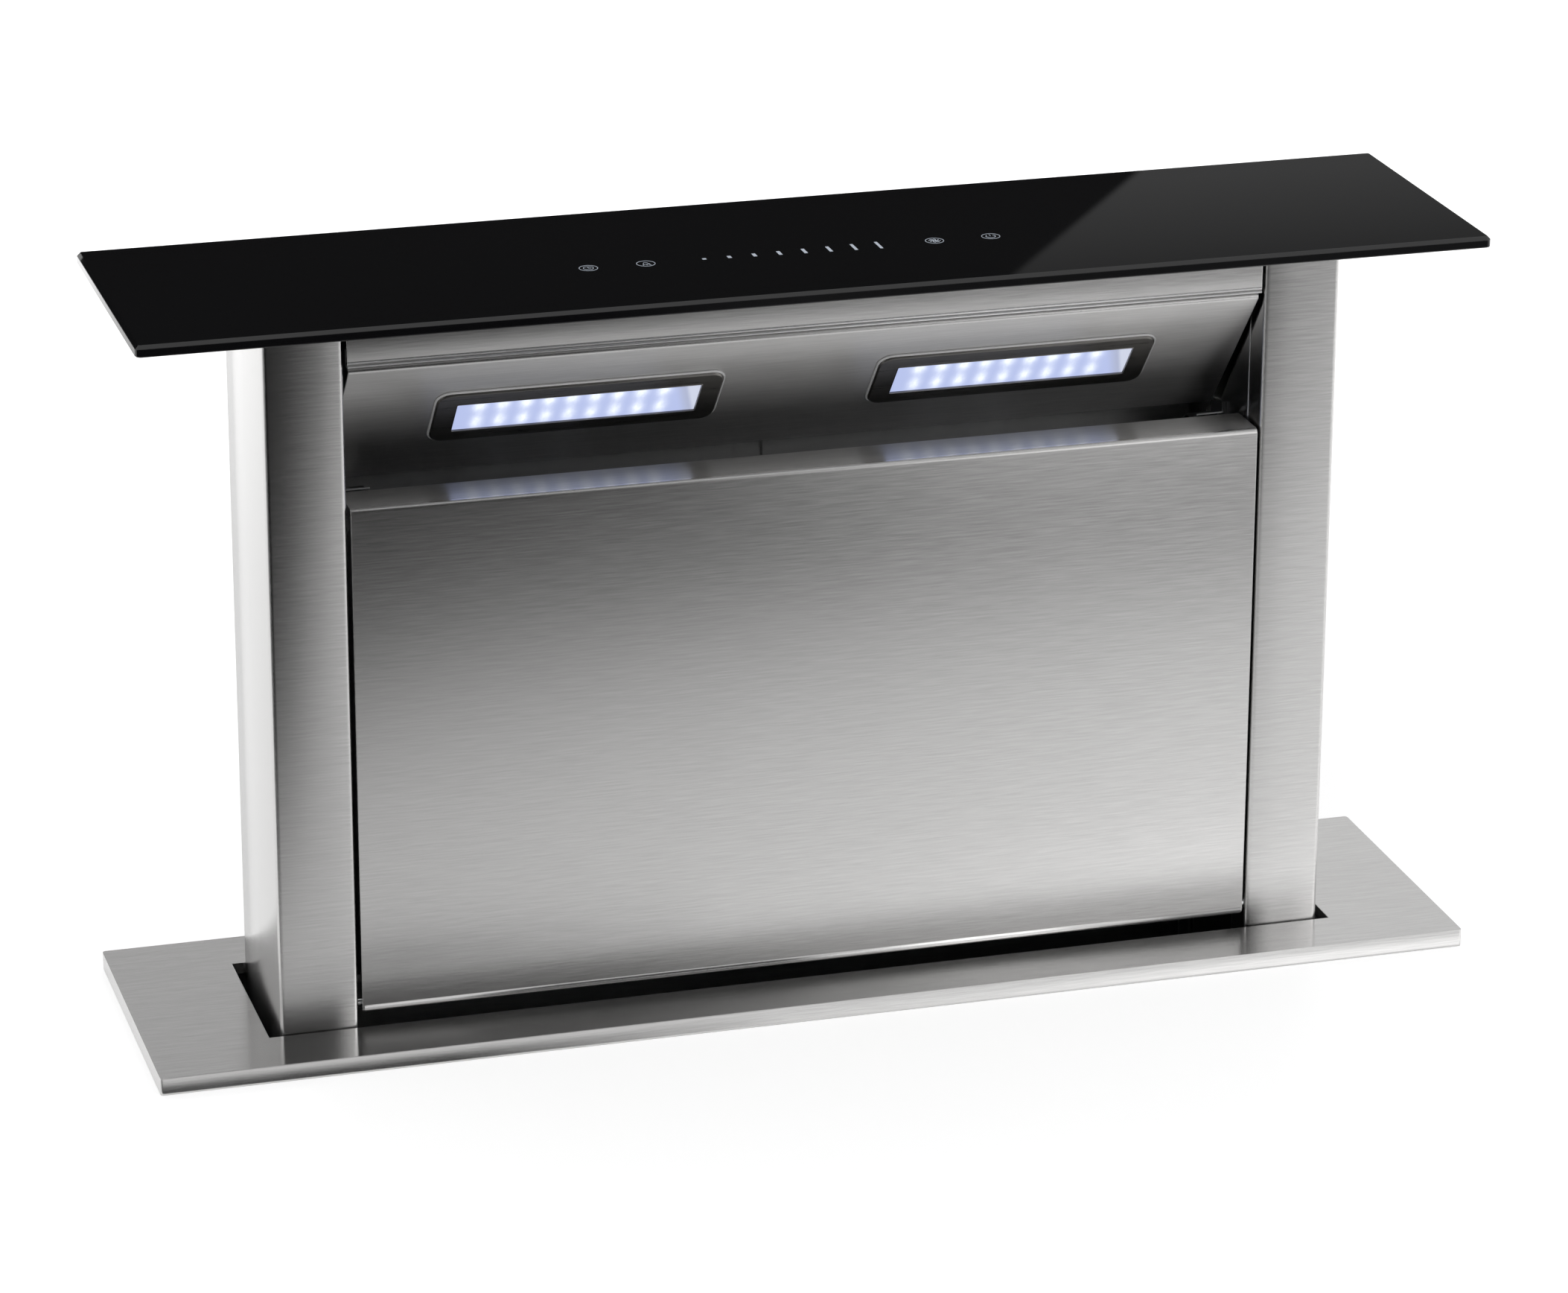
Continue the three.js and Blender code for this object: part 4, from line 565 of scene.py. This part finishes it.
LAMP_SLOPE = math.atan2(0.079, 0.068)  # the lamp sheet's drop and run
LIP = Vector((0.0, -0.0396, 0.3077))  # its upper edge, at the middle of the tower
LAMP_FROM_LIP = 0.042
LAMP_ACROSS = 0.0985
HALF_SHEET = 0.0006


def on_lamp(side, across, up, out):
    """A point of the sloping lamp sheet: from the lamp's middle along it, up it and out of it."""
    down = Vector((0, math.cos(LAMP_SLOPE), -math.sin(LAMP_SLOPE)))
    away = Vector((0, -math.sin(LAMP_SLOPE), -math.cos(LAMP_SLOPE)))
    middle = LIP + down * LAMP_FROM_LIP + away * HALF_SHEET
    return middle + Vector((side * LAMP_ACROSS + across, 0, 0)) - down * up + away * out


def rim(side, width, height, corner, out, radius):
    """Builds a wire round a rectangle with rounded corners on the lamp sheet."""

    def build(work):
        points = []
        for k, (u, v) in enumerate(((1, 1), (-1, 1), (-1, -1), (1, -1))):
            x, y = u * (width / 2 - corner), v * (height / 2 - corner)
            bend = arc(x, y, corner, 90 * k, 90 * k + 90, 6)
            points += [on_lamp(side, across, up, out) for across, up in bend]
        tube(work, points, radius, closed=True)

    return build


for name, side in SIDES:
    frame_rim = rim(side, width=0.1276, height=0.0371, corner=0.0063, out=0.0004, radius=0.0006)
    piece(f"lamp_rim_{name}", "tower", "chrome", frame_rim, rim_edge)
    lens_rim = rim(side, width=0.1088, height=0.0213, corner=0.0008, out=0.0018, radius=0.00025)
    piece(f"lens_rim_{name}", "tower", "dark_trim", lens_rim)

# the rolled edge at the panel's foot
foot_roll = bar(half=0.2036, y=-0.0401, z=0.0163, radius=0.0017, sides=14)
piece("panel_foot_roll", "panel", "brushed_steel", foot_roll)

# the header's rolled hem, two fine beads along its lower edge, in a paler steel whose tone is a
# painted highlight
for name, z in (("lower", 0.3096), ("upper", 0.3113)):
    bead = bar(half=0.2043, y=-0.0411, z=z, radius=0.00045)
    piece(f"header_bead_{name}", "tower", "brushed_steel", bead, painted_highlight_edge)


# ---- fasteners, threads and seals, in millimetres ----------------------------------------


def frame_at(place, out):
    """A matrix with its Z along out, at a place."""
    turn = Vector(out).to_track_quat("Z", "Y").to_matrix().to_4x4()
    return Matrix.Translation(Vector(place) * MM) @ turn


def turned(work, matrix, rings, count=12):
    """Faces round a line: each ring is a height and a radius, or a radius for each corner."""
    rows = []
    for height, radius in rings:
        row = []
        for k in range(count):
            a = 2 * math.pi * k / count
            r = radius(k) if callable(radius) else radius
            corner = Vector((r * math.cos(a), r * math.sin(a), height)) * MM
            row.append(work.verts.new(matrix @ corner))
        rows.append(row)
    skin(work, rows)


def socket_screw(work, place, out, r=3.0, h=1.9):
    """Button head with a hexagon socket."""

    def socket(k):
        # the twelve points of a ring lie on the hexagon's corners and the middles of its sides
        return 0.52 * r * (1.0 if k % 2 == 0 else math.cos(math.pi / 6))

    button = [(0, r), (0.35 * h, 0.98 * r), (0.75 * h, 0.84 * r), (h, 0.60 * r)]
    turned(work, frame_at(place, out), button + [(h, socket), (0.35 * h, socket)])


def rivet(work, place, out, r=2.4, h=0.9):
    """Pulled rivet with the dimple of its mandrel."""
    dome = [(0, r), (0.5 * h, 0.92 * r), (h, 0.55 * r)]
    dimple = [(h, 0.34 * r), (0.4 * h, 0.26 * r)]
    turned(work, frame_at(place, out), dome + dimple)


def hexagon_bolt(work, place, out, r=3.4, h=2.4, washer=0.9):
    """Hexagon head on its washer, both with a broken edge."""
    matrix = frame_at(place, out)
    bevel, chamfer = 0.2, 0.5
    disc = [(0, 1.45 * r), (washer - bevel, 1.45 * r), (washer, 1.35 * r)]
    turned(work, matrix, disc, 20)
    top = washer + h
    turned(work, matrix, [(washer, r), (top - chamfer, r), (top, 0.82 * r)], 6)


def fasteners(name, body, head, places, out):
    """One piece with a head at each place."""

    def build(work):
        for place in places:
            head(work, place, out)

    piece(name, body, "chrome", build)


def thread(x, y, low, high, r, pitch, wire, steps=10):
    """Builds a thread's ridge round a rod along Z."""

    def build(work):
        count = round((high - low) / pitch * steps)
        points = []
        for k in range(count + 1):
            a = 2 * math.pi * k / steps
            z = low + (high - low) * k / count
            points.append(Vector((x + r * math.cos(a), y + r * math.sin(a), z)) * MM)
        tube(work, points, wire * MM, 4)

    return build


# faces that carry fasteners: the y of these
CHASSIS_FRONT, CHASSIS_REAR, TOWER_REAR = -53, 53, 41
SCROLL_FLANGE, MOTOR_FLANGE, BOX_LID = -159.1, -162.4, -97.6
# and the x of these, which but for the adapter have their like on the left
ADAPTER_FLANGE = 114.3
CHASSIS_SIDE, CLAMP_PLATE, BRACKET_PLATE = 274, 276.3, 276.8

EDGE_X = 264  # of the screws along the chassis's upright edges
left_heights = (-40, -215, -300, -400, -500, -582)
right_heights = (-40, -135, -230, -330, -535, -582)
screws = [(-EDGE_X, CHASSIS_FRONT, z) for z in left_heights]
screws += [(EDGE_X, CHASSIS_FRONT, z) for z in right_heights]
fasteners("chassis_front_screws", "chassis", socket_screw, screws, (0, -1, 0))

rear_heights = (-40, -150, -240, -400, -480, -585)
screws = [(x, CHASSIS_REAR, z) for x in (-EDGE_X, EDGE_X) for z in rear_heights]
screws += [(x, CHASSIS_REAR, -430) for x in (-180, -60, 60, 180)]  # into the drive shelf
fasteners("chassis_rear_screws", "chassis", socket_screw, screws, (0, 1, 0))

BLOWER_Z = -330  # height of the blower's axis
SCROLL_START, SCROLL_END = -30, 270  # degrees, at the tongue and at the foot of the mouth
SCROLL_RADIUS, SCROLL_GROWTH = 104, 54  # at the start, and from there to the end


def on_scroll(degrees, outside):
    """x and z of a point that lies so far outside the scroll's wall."""
    share = (degrees - SCROLL_START) / (SCROLL_END - SCROLL_START)
    x, z = polar(SCROLL_RADIUS + SCROLL_GROWTH * share + outside, degrees)
    return x, BLOWER_Z + z


def round_scroll(start, outside, steps=48):
    """The line along the scroll's wall, from a start angle to its end."""
    turn = SCROLL_END - start
    return [on_scroll(start + turn * k / steps, outside) for k in range(steps + 1)]


def scroll_seal(work):
    """Foam strip round the scroll's foot, where it meets the chassis."""
    outline = round_scroll(-28.2, 2.4)
    mouth_x = 111.5
    outline += [(mouth_x, outline[-1][1]), (mouth_x, outline[0][1])]
    section = ((-0.9, -53.1), (2.6, -53.1), (3.0, -54.2), (2.2, -55.6), (-0.9, -55.6))
    rows = []
    for (x, z), run in zip(outline, directions(outline, closed=True)):
        ring = [Vector((x + out * run.y, y, z - out * run.x)) * MM for out, y in section]
        rows.append([work.verts.new(corner) for corner in ring])
    skin(work, rows, closed=True)


def cover_seam(work):
    """The blower cover's rolled edge."""
    y, radius = -158.35, 1.3
    line = [Vector((x, y, z)) * MM for x, z in round_scroll(-27.4, 6.5)]
    tube(work, line, radius * MM)


spiral = [on_scroll(degrees, 3.6) for degrees in range(-12, 262, 34)]
screws = [(x, SCROLL_FLANGE, z) for x, z in spiral]
fasteners("scroll_screws", "chassis", socket_screw, screws, (0, -1, 0))
piece("scroll_seal", "chassis", "belt_rubber", scroll_seal)
piece("cover_seam", "chassis", "aluminium", cover_seam)

circle = [polar(51, degrees) for degrees in (22, 112, 202, 292)]
screws = [(x, MOTOR_FLANGE, BLOWER_Z + z) for x, z in circle]
fasteners("fan_motor_screws", "chassis", socket_screw, screws, (0, -1, 0))
screws = [(x, BOX_LID, z) for x in (-255, -173) for z in (-187, -105)]
fasteners("lid_screws", "chassis", socket_screw, screws, (0, -1, 0))
screws = [(ADAPTER_FLANGE, y, z) for y in (-148, -106, -64) for z in (-377.5, -492.5)]
fasteners("adapter_screws", "chassis", socket_screw, screws, (1, 0, 0))

CLAMP_ROD_X = 288.3
LEAD_SCREW_X, LEAD_SCREW_Y = 222, 10
for name, side in SIDES:
    screws = [(side * CHASSIS_SIDE, 0, z) for z in (-28, -150, -260, -370)]
    screws += [(side * CHASSIS_SIDE, y, -431) for y in (-30, 30)]  # into the drive shelf
    fasteners(f"rail_screws_{name}", "chassis", socket_screw, screws, (side, 0, 0))
    bolts = [(side * CLAMP_PLATE, y, -88) for y in (-12.5, 12.5)]
    bolts += [(side * BRACKET_PLATE, y, -562) for y in (-13, 13)]
    fasteners(f"side_bolts_{name}", "chassis", hexagon_bolt, bolts, (side, 0, 0))
    clamp = thread(side * CLAMP_ROD_X, 0, low=-83, high=-34, r=3.0, pitch=1.5, wire=0.28)
    piece(f"clamp_thread_{name}", "chassis", "zinc_sheet", clamp)
    x, y = side * LEAD_SCREW_X, LEAD_SCREW_Y
    lead = thread(x, y, low=-409, high=-37, r=4.98, pitch=4.0, wire=0.26)
    piece(f"lead_thread_{name}", f"screw_{name}", "chrome", lead)

rivets = [(x, TOWER_REAR, z) for x in (-199, 199) for z in (28, 88, 148, 208, 268, 316)]
fasteners("rear_rivets", "tower", rivet, rivets, (0, 1, 0))


# ---- the filters' fine mesh, in millimetres ----------------------------------------------


FILTER_FOOT = Vector((0, -20.0, 12.7))
FILTER_LEAN = math.atan2(42.6, 202.0)
FILTER_ACROSS = 101.75  # from the tower's middle to a filter's
MESH_DEPTH = 2.1  # behind the filter's middle
MESH_HALF_WIDTH = 90.0
MESH_LOW, MESH_HIGH = 11.5, 194.5  # measured up the filter
MESH_CELL, MESH_ROWS = 5.0, 37
ZIGZAG = 0.42  # of a row's height, so that rows meet at their knots
STRAND = ((-0.45, -0.25), (-0.45, 0.25), (0.45, 0.25), (0.45, -0.25))  # its corners, up and out


def fine_mesh(side):
    """Builds expanded metal behind a filter's coarse openings, from zigzag strands."""

    def build(work):
        up = Vector((0, math.sin(FILTER_LEAN), math.cos(FILTER_LEAN)))
        out = Vector((0, -math.cos(FILTER_LEAN), math.sin(FILTER_LEAN)))
        middle = Vector((side * FILTER_ACROSS, 0, 0)) + FILTER_FOOT - out * MESH_DEPTH
        step = (MESH_HIGH - MESH_LOW) / MESH_ROWS
        count = round(2 * MESH_HALF_WIDTH / MESH_CELL)
        for row in range(MESH_ROWS):
            rows = []
            for k in range(count + 1):
                across = Vector((-MESH_HALF_WIDTH + 2 * MESH_HALF_WIDTH * k / count, 0, 0))
                lift = ZIGZAG * step * (1 if (k + row) % 2 else -1)
                knot = (middle + across + up * (MESH_LOW + (row + 0.5) * step + lift)) * MM
                corners = [knot + up * (h * MM) + out * (t * MM) for h, t in STRAND]
                rows.append([work.verts.new(corner) for corner in corners])
            skin(work, rows)

    return build


for name, side in SIDES:
    piece(f"fine_mesh_{name}", "tower", "aluminium", fine_mesh(side))


# ---- stage -------------------------------------------------------------------------------


class Backdrop(Shader):
    """A material of the stage or the world, put together from plain shaders."""

    def __init__(self, holder):
        super().__init__(holder)
        self.tree.nodes.clear()

    def seen_directly(self):
        """1 for camera, glossy and transmission rays, 0 for rays that only carry light."""
        ray = self.node("ShaderNodeLightPath").outputs
        seen = self.math("MAXIMUM", ray["Is Camera Ray"], ray["Is Glossy Ray"])
        return self.math("MAXIMUM", seen, ray["Is Transmission Ray"])

    def glow(self, strength):
        return self.node("ShaderNodeEmission", {"Strength": strength}).outputs[0]

    def clear_from_behind(self, front):
        behind = self.node("ShaderNodeNewGeometry").outputs["Backfacing"]
        clear = self.node("ShaderNodeBsdfTransparent").outputs[0]
        return self.node("ShaderNodeMixShader", {0: behind, 1: front, 2: clear}).outputs[0]


def stage_mesh(name, corners, faces, material):
    mesh = bpy.data.meshes.new(name)
    mesh.from_pydata(corners, [], faces)
    made = bpy.data.objects.new(name, mesh)
    bpy.context.scene.collection.objects.link(made)
    mesh.materials.append(material)
    return made


FLOOR_TONE = (0.86, 0.86, 0.86)
FLOOR_LIFT = 0.36  # glow of the floor round the vent, for rays that see it directly
FLOOR_FADE = (0.7, 1.9)  # over these distances the glow grows to 1
FLOOR_HALF = 3.2
CUTOUT_HALF_X, CUTOUT_HALF_Y = 0.285, 0.062


def floor():
    """The worktop level, with the cut-out under the plate. It is clear from below."""
    material = bpy.data.materials.new("floor")
    f = Backdrop(material)
    matt = f.node("ShaderNodeBsdfDiffuse", {"Color": FLOOR_TONE}).outputs[0]
    # the far floor lies outside the lamps' reach, so it is lifted until it meets the white
    away = f.node("ShaderNodeVectorMath", {0: f.place}, operation="LENGTH").outputs["Value"]
    lift = f.glow(f.times(f.seen_directly(), f.remap(away, FLOOR_FADE, (FLOOR_LIFT, 1.0))))
    both = f.node("ShaderNodeAddShader", {0: matt, 1: lift}).outputs[0]
    f.node("ShaderNodeOutputMaterial", {"Surface": f.clear_from_behind(both)})
    corners = []
    for x, y in ((FLOOR_HALF, FLOOR_HALF), (CUTOUT_HALF_X, CUTOUT_HALF_Y)):
        corners += [(-x, -y, 0), (x, -y, 0), (x, y, 0), (-x, y, 0)]
    faces = [(0, 1, 5, 4), (1, 2, 6, 5), (2, 3, 7, 6), (3, 0, 4, 7)]
    stage_mesh("floor", corners, faces, material)


def card(name, tone, corners, one_sided=False):
    """A card that is seen by mirroring surfaces alone. Its glow is a function of the place."""
    material = bpy.data.materials.new(name)
    f = Backdrop(material)
    glow = f.glow(tone(f, *f.axes()))
    surface = f.clear_from_behind(glow) if one_sided else glow
    f.node("ShaderNodeOutputMaterial", {"Surface": surface})
    made = stage_mesh(name, corners, [(0, 1, 2, 3)], material)
    made.visible_camera = False
    made.visible_diffuse = False
    made.visible_shadow = False
    made.visible_transmission = False
    made.visible_volume_scatter = False


def lying(x, y, z):
    """Corners of a level card; x and y are ranges."""
    return [(x[0], y[0], z), (x[1], y[0], z), (x[1], y[1], z), (x[0], y[1], z)]


def upright(x, y, z):
    """Corners of a card that faces the vent; x and z are ranges."""
    return [(x[0], y, z[0]), (x[1], y, z[0]), (x[1], y, z[1]), (x[0], y, z[1])]


def front_card(f, x, y, _):
    """What the tower's front mirrors low down: pale ground, darker to the left and far away."""
    slant = f.add(x, f.times(f.add(y, 0.67), 0.55))
    dawn = f.remap(slant, (-0.20, 0.04), (0.0, 0.68))
    tone = f.add(dawn, f.remap(slant, (0.08, 0.50), (0.0, 0.24)))
    tone = f.times(tone, f.remap(y, (-0.87, -0.70), (0.20, 1.0)))
    # two dark flags at the far end
    right = f.times(f.remap(y, (-0.80, -0.70), (1.0, 0.0)), f.remap(x, (0.25, 0.45), (0.0, 0.45)))
    left = f.times(f.remap(y, (-0.84, -0.74), (1.0, 0.0)), f.remap(x, (0.05, 0.20), (0.6, 0.0)))
    tone = f.times(tone, f.math("SUBTRACT", 1.0, f.add(right, left)))
    # brighter towards the vent, most of all at its right
    closer = f.remap(y, (-0.42, -0.14), (0.0, 0.14))
    tone = f.add(tone, f.times(closer, f.remap(x, (-0.20, 0.25), (0.5, 1.0))))
    closest = f.remap(y, (-0.135, -0.09))
    tone = f.add(tone, f.times(closest, f.remap(x, (-0.05, 0.22), (0.0, 0.5))))
    # and a dark flag close to its left end
    flag = f.remap(y, (-0.112, -0.092), (0.0, 0.96), smooth=True)
    flag = f.times(flag, f.remap(x, (-0.17, -0.02), (1.0, 0.0)))
    return f.times(tone, f.math("SUBTRACT", 1.0, flag))


def dark_wall(f, x, _, z):
    """The wall behind the camera, which the tower's front mirrors: lit only at the right."""
    band = f.times(f.remap(z, (0.35, 0.55), (0.15, 1.0)), f.remap(z, (0.90, 1.2), (1.0, 0.3)))
    return f.times(f.remap(x, (0.42, 0.75), (0.06, 2.0)), band)


def front_strip(f, x, *_):
    """A low pale strip that the plate's front edge mirrors."""
    return f.remap(x, (-0.3, 0.3), (1.15, 0.80))


def back_wall(f, x, _, z):
    """The pale wall behind, which the plate mirrors, lighter to the right and at its foot."""
    return f.remap(z, (0.0, 0.75), (1.0, f.remap(x, (0.60, 1.15), (0.50, 0.85))))


def back_card(f, x, _, z):
    """What the black glass mirrors: a dark wall with the slanted edge of a softbox."""
    edge = f.add(x, f.times(z, 1.33))
    pale = f.remap(z, (0.385, 0.455), (0.165, 0.04))
    return f.remap(edge, (0.742, 0.750), (0.014, pale), smooth=True)


def world():
    """Soft light from all round, and white where the world itself is seen."""
    made = bpy.data.worlds.new("studio")
    bpy.context.scene.world = made
    f = Backdrop(made)
    white = (1.0, 1.0, 1.0)
    soft = f.node("ShaderNodeBackground", {"Color": white, "Strength": 0.55}).outputs[0]
    seen = f.node("ShaderNodeBackground", {"Color": white, "Strength": 1.0}).outputs[0]
    both = f.node("ShaderNodeMixShader", {0: f.seen_directly(), 1: soft, 2: seen}).outputs[0]
    f.node("ShaderNodeOutputWorld", {"Surface": both})


def softbox(name, place, aim, size, watts, mirrored=True):
    """A rectangular lamp. One that isn't mirrored lights the steel without showing in it."""
    light = bpy.data.lights.new(name, "AREA")
    light.shape = "RECTANGLE"
    light.size, light.size_y = size
    light.energy = watts
    made = bpy.data.objects.new(name, light)
    bpy.context.scene.collection.objects.link(made)
    made.visible_glossy = mirrored
    made.location = place
    made.rotation_euler = (Vector(aim) - Vector(place)).to_track_quat("-Z", "Y").to_euler()


# the camera's place and lens, as solved from edges in the photograph
AZIMUTH, ELEVATION, ROLL = (math.radians(angle) for angle in (-16.25, 20.25, 0.17))
TARGET = Vector((-0.00123, 0.0, 0.15006))
DISTANCE = 2.5819
FOCAL_LENGTH, SENSOR_WIDTH = 133.29, 36.0  # millimetres


def camera():
    level = math.cos(ELEVATION)
    aim = Vector((-math.sin(AZIMUTH) * level, math.cos(AZIMUTH) * level, -math.sin(ELEVATION)))
    data = bpy.data.cameras.new("camera")
    data.sensor_width = SENSOR_WIDTH
    data.lens = FOCAL_LENGTH
    data.clip_start, data.clip_end = 0.05, 100.0
    made = bpy.data.objects.new("camera", data)
    bpy.context.scene.collection.objects.link(made)
    made.location = TARGET - aim * DISTANCE
    turn = aim.to_track_quat("-Z", "Y").to_matrix() @ Matrix.Rotation(ROLL, 3, "Z")
    made.rotation_euler = turn.to_euler()
    bpy.context.scene.camera = made


floor()
ground = lying(x=(-1.6, 1.9), y=(-1.9, -0.0725), z=0.0006)
card("front_card", front_card, ground, one_sided=True)
card("dark_wall", dark_wall, upright(x=(-2.6, 2.6), y=-1.9, z=(0.0, 3.2)))
card("front_strip", front_strip, upright(x=(-0.32, 0.32), y=-0.0815, z=(0.0008, 0.0052)))
card("back_wall", back_wall, upright(x=(-4.0, 4.0), y=3.0, z=(0.0, 2.4)))
card("back_card", back_card, upright(x=(-0.9, 1.1), y=0.22, z=(0.346, 0.62)))
world()
TOWER, CHASSIS = (0, 0, 0.1), (0, 0, -0.3)  # what the lamps are aimed at
softbox("key", (-1.4, -1.7, 2.3), TOWER, size=(1.8, 1.4), watts=26, mirrored=False)
softbox("fill", (2.0, -1.2, 1.5), TOWER, size=(1.6, 1.6), watts=12)
softbox("back", (0.3, 2.0, 2.2), TOWER, size=(2.0, 1.2), watts=16, mirrored=False)
softbox("under", (0.0, -1.6, -2.2), CHASSIS, size=(2.0, 1.4), watts=16, mirrored=False)
camera()
bpy.context.scene.view_settings.view_transform = "Standard"
